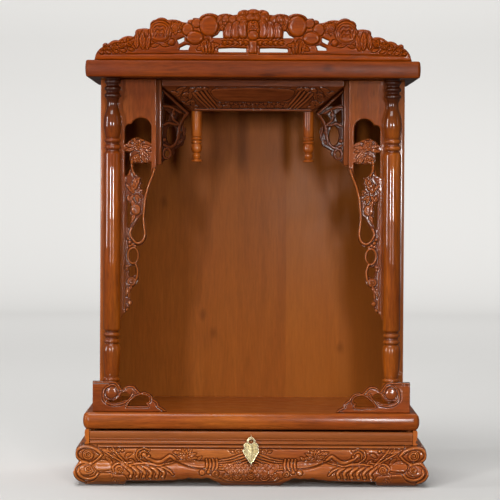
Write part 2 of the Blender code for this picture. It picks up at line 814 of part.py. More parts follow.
def make_boards():
    nosed_board(
        "base_board", (-half_base, base_front, base_bottom), (half_base, base_back, base_top),
        BASE_NOSE, frame_wood, cabinet,
    )
    half_top = half_base - TOP_SETBACK
    nosed_board(
        "top_board", (-half_top, base_front + TOP_SETBACK, top_bottom),
        (half_top, base_back - TOP_SETBACK, top_top), TOP_NOSE, frame_wood, cabinet,
    )
    for side, name in ((-1, "left_side_wall"), (1, "right_side_wall")):
        near, far = sorted((side * wall_inner, side * wall_outer))
        box(
            name, (near, wall_front, niche_bottom), (far, base_back - BACK_WALL_SETBACK, niche_top),
            frame_wood, cabinet,
        )
    inner = wall_inner - GAP
    box(
        "back_wall", (-inner, back_wall_front, niche_bottom),
        (inner, back_wall_front + BACK_WALL_THICKNESS, niche_top), panel_wood, cabinet,
    )


# Column: (share of the height from the foot, share of the radius)
COLUMN_PROFILE = (
    (0.000, 1.00), (0.080, 1.00), (0.086, 0.90), (0.096, 1.00), (0.106, 0.90), (0.112, 0.84),
    (0.180, 1.00), (0.205, 0.86), (0.213, 0.99), (0.224, 0.85), (0.234, 0.99), (0.243, 0.90),
    (0.256, 0.97), (0.766, 0.97), (0.778, 0.88), (0.787, 0.99), (0.797, 0.85), (0.808, 0.99),
    (0.820, 0.84), (0.832, 0.90), (0.862, COLUMN_BULB), (0.900, 0.86), (0.932, 0.77), (0.946, 0.98),
    (0.958, 0.86), (0.970, 0.99), (0.982, 0.90), (0.990, 0.99), (1.000, 0.99),
)
PENDANT_PROFILE = (
    (0.000, 0.72), (0.018, 0.80), (0.038, 0.62), (0.075, 0.82), (0.103, 0.60), (0.145, 0.98),
    (0.182, 0.74), (0.207, 1.00), (0.231, 0.80), (0.256, 1.00), (0.281, 0.92), (1.000, 0.92),
)


def make_turnings():
    for side, name in ((-1, "left_column"), (1, "right_column")):
        turned(
            name, COLUMN_PROFILE, COLUMN_SIDES, (side * column_x, column_y, niche_bottom),
            NICHE_HEIGHT, COLUMN_RADIUS, column_wood, cabinet,
        )
    pendant_y = canopy_front + CANOPY_RUN + CANOPY_THICKNESS + PENDANT_RADIUS
    for side, name in ((-1, "left_pendant"), (1, "right_pendant")):
        turned(
            name, PENDANT_PROFILE, PENDANT_SIDES,
            (side * (canopy_half_bottom - PENDANT_INSET), pendant_y, niche_top - PENDANT_LENGTH),
            PENDANT_LENGTH, PENDANT_RADIUS, column_wood, cabinet,
        )


# Face boards: drawn in millimetres from the outer top corner, a across and b down

FACE_DRAWING = (82.0, 432.0)


def face_board_drawing():
    outline = arcs([
        (0, 0, 0), (0, 432, 0), (14, 432, 1), (25, 412, 1), (33, 405, 1), (36, 398, 2.4), (40, 388, -2),
        (34, 383, -2), (40, 366, -1), (48, 358, 4), (49, 322, 3), (50, 292, 4), (60, 283, 4),
        (64, 262, 2), (64, 218, -3), (76, 178, 2), (82, 152, 0), (82, 0, 0),
    ], down=True)
    arch = arcs([
        (26, 118, 0), (30, 108, -2), (48, 102, -2), (72.5, 110, 0), (72.5, 88, 13), (38.5, 80, -1),
        (36, 80, 3), (26, 90, 0),
    ], down=True)
    left_gap = arcs([(26, 128, 0), (26, 160, 0), (33, 158, 0), (37, 140, -1), (32, 128, 0)], down=True)
    right_gap = arcs([
        (44, 146, 0), (42, 164, 2), (50, 176, 2), (50, 192, 0), (57, 212, 0), (60, 196, 2),
        (72.5, 168, 0), (72.5, 142, -2),
    ], down=True)
    low_gap = arcs([
        (40, 222, 0), (39, 246, 3), (41, 272, 0), (50, 280.5, 5), (58.5, 262, 1), (57.5, 232, -2),
    ], down=True)
    inner_gap = arcs([(28, 212, 0), (28, 256, 0), (34, 262, 0), (36, 230, 0)], down=True)
    ring = ellipse(42, 308.4, 6.8, 11.5, 8)
    tail_gap = arcs([(34, 330, 0), (33, 342, 1), (38, 344, 0), (45, 340, 1), (44, 328, 0)], down=True)
    holes = [arch, left_gap, right_gap, low_gap, inner_gap, ring, tail_gap]
    ridges = (
        spray(34, 120, -10, 17, 3, 80, 4.0)
        + spray(68, 126, 170, 20, 4, 110, 4.2)
        + rosette(50, 124, 10, 5)
        + leaf(46, 136, 20, 20, 4.0)
        + tendril([(38, 142), (37, 152), (40, 168)], 2.4)
        + spray(40, 186, 250, 14, 3, 100, 4.0)
        + rosette(42, 184, 10, 5)
        + leaf(44, 190, 35, 16, 3.6)
        + spray(36, 206, 100, 16, 3, 60, 3.4)
        + tendril([(77, 170), (66, 196), (61, 222), (61, 262), (51, 283), (40, 276), (38, 262)], 2.3)
        + leaf(33, 226, 70, 20, 3.6)
        + tendril([(42, 295), (52, 308), (42, 321), (32, 308), (42, 295)], 2.2)
        + tendril([(46, 322), (50, 337), (47, 350), (41, 356)], 2.2)
        + scroll(37, 350, 7.5, 200, 1.2, 1, 2.8)
        + leaf(36, 364, 100, 18, 5.0)
        + ball(36.5, 393, 4.8)
        + ball(31, 405, 3.0)
    )
    return outline, holes, ridges


def make_face_boards():
    unit = (FACE_BOARD_WIDTH / FACE_DRAWING[0], FACE_BOARD_LENGTH / FACE_DRAWING[1])
    outer = wall_inner - GAP
    face = wall_front + FACE_CARVING
    for side, name in ((-1, "left_face_board"), (1, "right_face_board")):
        def place(a, b, h, side=side):
            return (side * (outer - a), face - h, niche_top - b)
        carved_board(
            name, face_board_drawing(), unit, FACE_CARVING,
            FACE_BOARD_THICKNESS - FACE_CARVING, place, carved_wood, cabinet,
        )


BRACKET_DRAWING = (128.5, 52.5)
CANOPY_BRACKET_DRAWING = (47.0, 147.0)
CREST_DRAWING = (548.0, 89.0)
PULL_DRAWING = (28.5, 49.0)


def corner_bracket_drawing():
    """Drawn in millimetres from the outer lower corner, a along and b up."""
    outline = arcs([
        (0, 0, 0), (128.5, 0, 0), (118, 8, 0.5), (114, 15, 1), (106, 20, 1), (100, 29, 2), (84, 32.5, 1.5),
        (79, 36, -0.6), (75, 44, 3), (62, 45, 2.5), (53, 42, -1), (50, 30, -2), (46, 35, 0),
        (47.5, 43, 3), (39, 52.5, 0), (0, 52.5, 0),
    ])
    eye = arcs([
        (22, 22, 3), (37, 14.5, 2), (58, 21, 2), (64, 29, 1), (56, 33, -2), (47, 25, -1), (36, 29, -1),
        (24, 31, 1),
    ])
    heart = arcs([
        (61, 10, 0), (95, 10, 0.5), (92, 15, 0), (97, 18, 2), (94, 26, 1), (83, 28.5, 1), (70, 21, 1),
    ])
    ridges = (
        tendril([(6, 48), (24, 48.5), (40, 47.5), (46, 40), (36, 35)], 2.8)
        + tendril([(17, 33), (14, 22), (24, 11), (42, 8), (58, 14), (70, 26)], 3.0)
        + tendril([(56, 38), (66, 41), (74, 36), (84, 30.5), (98, 28), (106, 16), (118, 5)], 2.6)
        + tendril([(60, 6), (80, 6), (100, 6)], 2.2)
        + leaf(110, 6, 130, 14, 3.0)
    )
    return outline, [eye, heart], ridges


def make_corner_brackets():
    unit = (BRACKET_LENGTH / BRACKET_DRAWING[0], BRACKET_HEIGHT / BRACKET_DRAWING[1])
    outer = half_base - BRACKET_SETBACK
    face = base_front + BRACKET_FRONT + BRACKET_CARVING
    for side, name in ((-1, "left_corner_bracket"), (1, "right_corner_bracket")):
        def place(a, b, h, side=side):
            return (side * (outer - a), face - h, niche_bottom + b)
        carved_board(
            name, corner_bracket_drawing(), unit, BRACKET_CARVING,
            BRACKET_THICKNESS - BRACKET_CARVING, place, carved_wood, cabinet,
        )


# Canopy: an upright band, then a face that leans back as it comes down

CANOPY_DRAWING = (160.0, 54.0)


def canopy_place(a, b, h):
    """The point at a across and b down the canopy, h above its face."""
    run, fall = CANOPY_RUN, CANOPY_DROP - CANOPY_BAND
    length = math.hypot(run, fall)
    upright, leaning = Vector((-1.0, 0.0)), Vector((-fall / length, -run / length))
    if abs(b - CANOPY_BAND) < 1e-5:
        outwards = (upright + leaning) / (1 + upright.dot(leaning))
    else:
        outwards = upright if b < CANOPY_BAND else leaning
    back = max(0.0, b - CANOPY_BAND) * run / fall
    return (a, canopy_front + back + outwards.x * h, niche_top - b + outwards.y * h)


def make_canopy():
    half, drop = CANOPY_DRAWING
    unit = (canopy_half_top / half, CANOPY_DROP / drop)
    bottom = canopy_half_bottom / unit[0]
    band = CANOPY_BAND / unit[1]
    outline = arcs([
        (-half, 0, 0), (half, 0, 0), (half, band, 0), (bottom, drop, 0), (-bottom, drop, 0),
        (-half, band, 0),
    ])
    ridges = both(
        ribs(90, 24, -8, 3, 3, -24, 20, 3.0)
        + spray(116, 26, 200, 18, 3, 80, 4.0)
        + spray(108, 44, 160, 16, 3, 90, 3.6)
        + leaf(132, 22, 170, 18, 4.0)
        + spray(50, 48, 190, 14, 3, 60, 3.0)
        + leaf(28, 48, 160, 14, 3.2)
        + tendril([(66, 17), (34, 15), (8, 14.5)], 1.8)
    ) + rosette(0, 44, 8, 6)
    carved_board(
        "canopy", (outline, [], ridges), unit, CANOPY_CARVING, CANOPY_THICKNESS, canopy_place,
        canopy_wood, cabinet, rows=[((-half + 1, band), (half - 1, band))],
    )


def canopy_bracket_drawing(unit):
    """A corner scroll, drawn in millimetres from the top of the post, a towards the middle and
    b down. Its upper edge runs along just below the canopy's slanting end."""
    slant = (CANOPY_DROP - CANOPY_BAND) / (canopy_half_top - canopy_half_bottom)
    clear = CANOPY_BAND + SCROLL_CLEARANCE

    def under_canopy(a):
        return (clear + slant * a * unit[0]) / unit[1]

    outline = arcs([
        (0, under_canopy(0), 0), (0, 147, 0), (6, 141, 2), (17, 134, 2.5), (21, 123, 1), (30, 118, 3),
        (38, 107, 2), (40, 95, 3), (37, 80, -2), (47, under_canopy(47) + 6, 0), (47, under_canopy(47), 0),
    ], down=True)
    holes = [
        ellipse(16, 97, 8.0, 17.0, 10),
        arcs([(4, 25, 0), (4, 41, 0), (16, 44, -1), (26, 47, 0)], down=True),
        ellipse(9, 130, 3.8, 6.0, 8),
        arcs([(4, 52, 0), (4, 74, 0), (10, 72, 0), (13, 60, 0)], down=True),
        arcs([(27, 62, 2), (26, 72, 0), (32, 72, 0), (38, 58, 1)], down=True),
    ]
    ridges = (
        tendril([(40, 52), (24, 50), (10, 46), (3, 48)], 2.2)
        + scroll(20, 58, 7, 90, 1.1, -1, 2.4)
        + tendril([(30, 76), (29, 96), (24, 115), (13, 120), (4, 114)], 2.6)
        + tendril([(4, 80), (14, 74), (22, 78)], 2.2)
        + ball(34, 100, 4.0)
        + tendril([(15, 124), (16, 134), (8, 140)], 2.0)
    )
    return outline, holes, ridges


def make_canopy_sides():
    post_front = wall_front + FACE_BOARD_THICKNESS + GAP
    for side, name in ((-1, "left_canopy_post"), (1, "right_canopy_post")):
        near, far = sorted((side * post_inner, side * post_outer))
        box(
            name, (near, post_front, niche_top - POST_LENGTH), (far, post_front + POST_DEPTH, niche_top),
            carved_wood, cabinet,
        )
    unit = (SCROLL_WIDTH / CANOPY_BRACKET_DRAWING[0], SCROLL_LENGTH / CANOPY_BRACKET_DRAWING[1])
    start = post_front + (POST_DEPTH - SCROLL_THICKNESS) / 2 + SCROLL_CARVING
    for side, name in ((-1, "left_canopy_bracket"), (1, "right_canopy_bracket")):
        def place(a, b, h, side=side):
            back = start + a * SCROLL_RUN / SCROLL_WIDTH
            return (side * (post_inner - GAP - a), back - h, niche_top - b)
        carved_board(
            name, canopy_bracket_drawing(unit), unit, SCROLL_CARVING,
            SCROLL_THICKNESS - SCROLL_CARVING, place, canopy_wood, cabinet,
        )


def crest_drawing():
    """Right half, in millimetres from the middle of the bottom edge."""
    half = [
        (274, 0, 0), (274, 2, 5), (258, 21, 3), (250, 24, 3.2), (232, 31, 4), (203, 37, 2), (197, 50, 2.5),
        (179, 52, 0.5), (178, 56, 4.5), (146, 65.5, 4), (121.5, 62.7, 0), (115.8, 61.7, 0),
        (105.5, 70.2, 0), (93.2, 70.7, 4.5), (62, 75, 3), (38.6, 77.7, 0.5), (27.3, 79.6, 2.5),
        (8.3, 84.3, 1.5), (0, 89, 0),
    ]
    outline = arcs(mirrored(half))
    right_holes = [
        arcs([(52, 39, 0), (71, 39, 0.5), (62, 44, 0), (57, 51, 0), (53, 51, 0)]),
        arcs([(12, 14.5, 0), (59, 14.5, 1), (59, 20.5, 1), (12, 21, 0)]),
        arcs([(119, 33, 0), (128, 28, 0), (131, 35, 0), (119, 40, 0)]),
        arcs([(112, 18, 0), (127, 18, 0), (126, 22, 0), (115, 27, 0), (109, 26, 0)]),
    ]
    holes = []
    for hole in right_holes:
        holes += [hole, [Vector((-point.x, point.y)) for point in reversed(hole)]]
    ridges = both(
        tendril([(268, 9), (200, 12), (110, 12), (70, 9)], 3.0)
        + scroll(252, 21, 6, 0, 0.8, 1, 2.6)
        + leaf(244, 20, 30, 15, 3.6)
        + spray(222, 22, 80, 15, 3, 80, 3.6)
        + spray(206, 22, 110, 14, 3, 60, 3.4)
        + leaf(192, 24, 95, 26, 5.0)
        + leaf(182, 24, 80, 26, 5.0)
        + tendril([tuple(point) for point in ellipse(159, 47.5, 18, 18)], 2.6)
        + rosette(159, 47.5, 13, 6)
        + scroll(133, 62, 8, 200, 1.1, -1, 3.0)
        + leaf(142, 30, 60, 16, 3.6)
        + ball(100, 38, 12)
        + ball(76, 59, 16)
        + spray(108, 58, 60, 14, 3, 80, 3.2)
        + spray(48, 60, 80, 18, 3, 70, 4.0)
        + leaf(84, 24, 190, 18, 4.0)
        + leaf(66, 26, 20, 16, 4.0)
        + leaf(46, 26, 175, 28, 4.0)
        + leaf(14, 31, 20, 26, 3.6)
        + leaf(22, 52, 30, 22, 5.0)
        + leaf(18, 62, 60, 20, 5.0)
    ) + rosette(0, 58, 20, 7)
    return outline, holes, ridges


def make_crest():
    unit = (CREST_WIDTH / CREST_DRAWING[0], CREST_HEIGHT / CREST_DRAWING[1])
    face = base_front + TOP_SETBACK + CREST_FRONT + CREST_CARVING
    carved_board(
        "crest", crest_drawing(), unit, CREST_CARVING, CREST_THICKNESS - CREST_CARVING,
        lambda a, b, h: (a, face - h, crest_bottom + b), carved_wood, cabinet,
    )


make_aprons()
make_waist()
make_drawer()
make_eye()
make_pull()
make_boards()
make_turnings()
make_face_boards()
make_corner_brackets()
make_canopy()
make_canopy_sides()
make_crest()
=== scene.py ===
# %% [markdown]
# A tabletop altar cabinet in lacquered wood
#
# The cabinet is a small shrine for a sideboard. It has a carved base with feet, a shallow drawer in
# its waist, an open niche between two turned columns, and a pierced crest on the top board.
# The construction is already there: it comes in as plain solids at their real size, and this lesson
# dresses them. Straight boards get eased edges, turnings get smooth curves, and the carved boards
# are carved again in fine relief. Everything is in metres, with the front towards -Y and Z up.

import math

import bmesh
import bpy
import numpy as np
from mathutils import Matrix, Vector
from mathutils.geometry import delaunay_2d_cdt


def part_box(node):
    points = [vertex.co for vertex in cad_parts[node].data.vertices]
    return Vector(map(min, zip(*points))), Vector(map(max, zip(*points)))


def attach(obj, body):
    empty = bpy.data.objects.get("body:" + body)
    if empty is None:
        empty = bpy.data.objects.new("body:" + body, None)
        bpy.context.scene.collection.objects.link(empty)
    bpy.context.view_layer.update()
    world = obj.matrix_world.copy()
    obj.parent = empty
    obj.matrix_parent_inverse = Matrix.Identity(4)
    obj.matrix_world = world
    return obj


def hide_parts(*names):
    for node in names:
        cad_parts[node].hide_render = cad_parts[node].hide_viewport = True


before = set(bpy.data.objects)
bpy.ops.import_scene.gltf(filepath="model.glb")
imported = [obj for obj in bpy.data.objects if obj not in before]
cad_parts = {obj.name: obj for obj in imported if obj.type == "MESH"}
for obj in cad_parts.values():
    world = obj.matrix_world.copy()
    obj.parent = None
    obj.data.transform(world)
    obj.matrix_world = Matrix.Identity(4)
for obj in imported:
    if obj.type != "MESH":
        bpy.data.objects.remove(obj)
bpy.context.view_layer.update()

MM = 0.001

# %% [markdown]
# The camera
#
# The photograph was taken straight from the front with a long lens, from about the height of the
# niche, looking down by a little more than a degree. A long lens far away keeps the columns upright
# and shows only a sliver of the niche floor. The lens follows from the distance and from how wide
# the picture is at the carved apron, so the object keeps its place in the frame.

# %% Camera
def camera_looking(place, target, lens):
    data = bpy.data.cameras.new("camera")
    data.lens = lens
    data.clip_end = 30.0
    camera = bpy.data.objects.new("camera", data)
    bpy.context.scene.collection.objects.link(camera)
    camera.location = place
    camera.rotation_euler = (Vector(target) - Vector(place)).to_track_quat("-Z", "Y").to_euler()
    return camera


apron_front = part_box("front_apron")[0].y
CAMERA_DISTANCE = 4.2
CAMERA_HEIGHT = 0.512
AIM_HEIGHT = 0.4092
PICTURE_WIDTH = 0.858           # metres across the picture at the apron
ASIDE = -0.0036                 # the object stands a little right of the picture's middle
TILT = 0.3                      # degrees: the photograph hangs a little to the right
SENSOR = 0.036
camera = camera_looking(
    (ASIDE, apron_front - CAMERA_DISTANCE, CAMERA_HEIGHT), (ASIDE, apron_front, AIM_HEIGHT),
    1000 * SENSOR * CAMERA_DISTANCE / PICTURE_WIDTH,
)
camera.rotation_euler.rotate_axis("Z", math.radians(TILT))
bpy.context.scene.camera = camera
print("lens", round(camera.data.lens, 1), "mm")

# %% [markdown]
# The studio
#
# Lacquer shows its shape by what it mirrors, so the lights matter as much as the carving. Two
# upright strips, one on each side of the camera, draw the pair of fine lines down each column, and
# under each strip hangs a weaker tail that lets its line fade out towards the floor. A panel at the
# left lights that side and a faint one the other, and a wide panel above fills the tops and noses
# of the boards. The panel in front only adds light: it is hidden from the mirrored rays, because
# flat boards would mirror it as a white patch.
#
# The floor is a round disc that bends up into a wall on every side. The wall stands outside every
# camera, so no view of the cabinet is blocked, from the back either. One lamp lights the floor
# behind the cabinet, and a ring of lamps faces outwards to light the wall. No lamp shows to the
# camera. The paper is hidden from mirrored and bounced rays, or it would veil the dark wood.

# %% Floor, backdrop and lights
def studio_round(reach, bend, height):
    """A round floor that curves up into a wall on every side: one profile spun about the middle."""
    sides = 96
    steps = 12                      # flat strips in the bend
    flat = reach - bend
    profile = [(0.97 * flat, 0.0)]  # a ring just before the bend keeps the floor's shading flat
    for step in range(steps + 1):
        turn = math.pi / 2 * step / steps
        profile.append((flat + bend * math.sin(turn), bend - bend * math.cos(turn)))
    profile.append((reach, height))
    points = [(0.0, 0.0, 0.0)] + [
        (radius * math.cos(2 * math.pi * i / sides), radius * math.sin(2 * math.pi * i / sides), z)
        for radius, z in profile for i in range(sides)
    ]
    faces = [(0, 1 + i, 1 + (i + 1) % sides) for i in range(sides)]
    for ring in range(len(profile) - 1):
        first, above = 1 + ring * sides, 1 + (ring + 1) * sides
        for i in range(sides):
            j = (i + 1) % sides
            faces.append((first + i, above + i, above + j, first + j))
    mesh = bpy.data.meshes.new("studio_sweep")
    mesh.from_pydata(points, [], faces)
    mesh.shade_smooth()
    sweep = bpy.data.objects.new("studio_sweep", mesh)
    bpy.context.scene.collection.objects.link(sweep)
    paint = bpy.data.materials.new("pale_paper")
    paint.use_nodes = True
    shader = paint.node_tree.nodes["Principled BSDF"]
    shader.inputs["Base Color"].default_value = (0.74, 0.73, 0.71, 1.0)
    shader.inputs["Roughness"].default_value = 0.9
    mesh.materials.append(paint)
    sweep.visible_glossy = False
    sweep.visible_diffuse = False


def softbox(name, place, target, width, height, watts):
    data = bpy.data.lights.new(name, "AREA")
    data.shape = "RECTANGLE"
    data.size = width
    data.size_y = height
    data.energy = watts
    lamp = bpy.data.objects.new(name, data)
    bpy.context.scene.collection.objects.link(lamp)
    lamp.location = place
    lamp.rotation_euler = (Vector(target) - Vector(place)).to_track_quat("-Z", "Y").to_euler()
    lamp.visible_camera = False
    return lamp


WALL_REACH = 7.0                # metres from the cabinet to the backdrop, outside every camera
for name, place, target, width, height, watts in (
    ("left_strip", (-1.85, -4.2, 0.95), (0.0, 0.0, 0.45), 0.28, 0.75, 58),
    ("left_tail", (-1.85, -4.2, 0.22), (0.0, 0.0, 0.30), 0.20, 0.6, 7),
    ("right_strip", (0.92, -4.4, 0.95), (0.0, 0.0, 0.45), 0.30, 0.75, 54),
    ("right_tail", (0.92, -4.4, 0.22), (0.0, 0.0, 0.30), 0.22, 0.6, 7),
    ("side_panel", (-3.0, -0.95, 0.85), (0.0, 0.0, 0.40), 0.30, 1.2, 32),
    ("right_fill", (2.8, -1.6, 1.3), (0.0, 0.0, 0.40), 0.5, 1.2, 2),
    ("front_panel", (0.30, -3.3, 2.15), (0.0, 0.0, 0.35), 0.7, 0.5, 24),
    ("top_panel", (-0.7, -1.9, 2.7), (0.0, 0.0, 0.4), 1.6, 1.4, 46),
    ("floor_wash", (0.0, 1.4, 3.4), (0.0, 3.0, 0.6), 3.5, 0.6, 82),
):
    lamp = softbox(name, place, target, width, height, watts)
    lamp.visible_glossy = name != "front_panel"

WALL_WASHES = 8                 # lamps around the floor that light the wall
WALL_WATTS = 74                 # for each of them
WALL_BEND, WALL_TALL = 1.2, 5.0
for i in range(WALL_WASHES):
    turn = 2 * math.pi * (i + 1) / WALL_WASHES
    ahead = Vector((math.cos(turn), math.sin(turn), 0.0))
    softbox(
        "wall_wash_" + str(i), (WALL_REACH - 1.8) * ahead + Vector((0, 0, 3.4)),
        (WALL_REACH - 0.2) * ahead + Vector((0, 0, 0.6)), 3.5, 0.6, WALL_WATTS,
    )
studio_round(WALL_REACH, WALL_BEND, WALL_TALL)

world = bpy.data.worlds.new("studio")
bpy.context.scene.world = world
world.use_nodes = True
sky = world.node_tree.nodes["Background"]
sky.inputs["Color"].default_value = (1.0, 0.98, 0.95, 1.0)
sky.inputs["Strength"].default_value = 0.08
bpy.context.scene.view_settings.view_transform = "Standard"

# %% [markdown]
# The lacquered wood
#
# Every board is the same kind of work: stained wood under clear gloss lacquer. In Blender the stain
# is the base colour, and the lacquer is the coat, a second clear layer that mirrors on its own.
# The grain is noise that is stretched along the board, because wood fibres are long in one
# direction, and three sizes of it are laid over each other: broad figure, fine streaks and pores.
# The noise reads the object's own coordinates, so the grain stays on the drawer when it slides.
#
# A material is a tree of small nodes, and joining them by hand takes many lines. So first come a
# few short calls: one that places a node, one that mixes two colours, one that spreads a narrow
# range of values over a wide one.

# %% Helpers for materials
class Recipe:
    """Short calls for placing and joining shader nodes."""

    def __init__(self, name):
        self.material = bpy.data.materials.new(name)
        self.material.use_nodes = True
        self.tree = self.material.node_tree
        self.shader = self.tree.nodes["Principled BSDF"]

    def feed(self, socket, value):
        """Joins another node's output to the socket, or sets the socket to a plain value."""
        if isinstance(value, bpy.types.NodeSocket):
            self.tree.links.new(value, socket)
        else:
            socket.default_value = value

    def node(self, kind, inputs=(), **settings):
        made = self.tree.nodes.new(kind)
        for key, value in settings.items():
            setattr(made, key, value)
        for key, value in dict(inputs).items():
            self.feed(made.inputs[key], value)
        return made

    def to_shader(self, name, socket):
        self.tree.links.new(socket, self.shader.inputs[name])

    def noise(self, where, scale, detail, roughness=0.55, distortion=0.0):
        return self.node("ShaderNodeTexNoise", {
            "Vector": where, "Scale": scale, "Detail": detail, "Roughness": roughness,
            "Distortion": distortion,
        }).outputs["Fac"]

    def spread(self, value, low, high, start=0.0, end=1.0):
        return self.node("ShaderNodeMapRange", {
            "Value": value, "From Min": low, "From Max": high, "To Min": start, "To Max": end,
        }).outputs["Result"]

    def mix(self, share, first, second, blend="MIX"):
        """Sockets 0, 6, 7 and the output 2 are the ones that a Mix node uses for colours."""
        mixer = {0: share, 6: first, 7: second}
        return self.node("ShaderNodeMix", mixer, data_type="RGBA", blend_type=blend).outputs[2]

    def maths(self, operation, first, second):
        return self.node("ShaderNodeMath", {0: first, 1: second}, operation=operation).outputs[0]

    def stored(self, name):
        """A value that the mesh carries on each of its points."""
        return self.node("ShaderNodeAttribute", attribute_name=name).outputs["Fac"]


def stretched(recipe, along, across):
    """Coordinates in which a unit is long along the grain and short across it."""
    place = recipe.node("ShaderNodeTexCoord").outputs["Object"]
    scale = [across, across, across]
    scale["XYZ".index(along)] = 1.0
    return recipe.node("ShaderNodeMapping", {"Vector": place, "Scale": scale}).outputs["Vector"]


def tinted(colour, red, green, blue):
    """The colour with each of its channels multiplied, as a socket takes it."""
    return (colour[0] * red, colour[1] * green, colour[2] * blue, 1)


print("the recipe's calls:", [call for call in vars(Recipe) if not call.startswith("_")])

# %% [markdown]
# What happens to the wood before and under the lacquer
#
# Four things break up the even colour of a stained board. A glued-up panel is made of boards that
# took the stain differently, so a one-dimensional Voronoi pattern gives each strip its own tone.
# A few small knots are dark spots with a ragged edge. Some boards were toned darker towards one
# end, which is a blend by height. And on carved work the stain gathers in the cuts, while polishing
# A few small knots are dark spots with a ragged edge. Some parts are darker towards one end, which
# is a blend by height; at the tops of the columns this is painted shadow of the top board. And on
# carved work the cuts and the low ground get painted shade, while the crests are lighter from polish
# wear and painted highlight. The mesh carries it as values on its points: "height" is
# how high a point stands, "edge" is below zero in a cut and above it on a crest, and "worked" is
# zero on a flat and one where the tools have been. The coat is thinner on the flats and thick on
# the carving, and a fine unevenness from the tools is added only where they worked.

# %% Boards, knots and darkening by height
def glued_up(recipe, wood, place, dark, light, share):
    """A panel of upright boards, each with a tone of its own."""
    across = recipe.node("ShaderNodeSeparateXYZ", {"Vector": place}).outputs["X"]
    strip = recipe.node(
        "ShaderNodeTexVoronoi", {"W": across, "Scale": 11.0, "Randomness": 0.55}, voronoi_dimensions="1D",
    )
    tone = recipe.node("ShaderNodeSeparateColor", {"Color": strip.outputs["Color"]}).outputs
    wood = recipe.mix(recipe.spread(tone["Red"], 0, 1, 0, share), wood, tinted(dark, 0.72, 0.78, 1))
    return recipe.mix(recipe.spread(tone["Green"], 0, 1, 0, share), wood, tinted(light, 1.05, 1.25, 1.3))


def knotted(recipe, wood, place, streaks, dark, along, spot):
    """A small dark knot with a ragged edge, longer along the grain than across it."""
    def vectors(operation, output, inputs):
        return recipe.node("ShaderNodeVectorMath", inputs, operation=operation).outputs[output]

    shape = (1.0, 0.0, 0.55) if along == "Z" else (0.5, 0.0, 1.0)
    away = vectors("SUBTRACT", "Vector", {0: place, 1: spot})
    reach = vectors("LENGTH", "Value", {0: vectors("MULTIPLY", "Vector", {0: away, 1: shape})})
    ragged = recipe.maths("ADD", reach, recipe.spread(streaks, 0.3, 0.7, -0.0012, 0.0012))
    heart, rim = 0.0022, 0.0085     # metres from the knot's middle
    return recipe.mix(recipe.spread(ragged, heart, rim, 0.62, 0.0), wood, tinted(dark, 0.35, 0.3, 0.4))


def darkened_by_height(recipe, wood, place, dark, start, end, share):
    """Colour that darkens from the height start to the height end; on the columns it is painted shadow of the
    top board.
    """
    up = recipe.node("ShaderNodeSeparateXYZ", {"Vector": place}).outputs["Z"]
    return recipe.mix(recipe.spread(up, start, end, 0.0, share), wood, tinted(dark, 0.22, 0.2, 0.3))


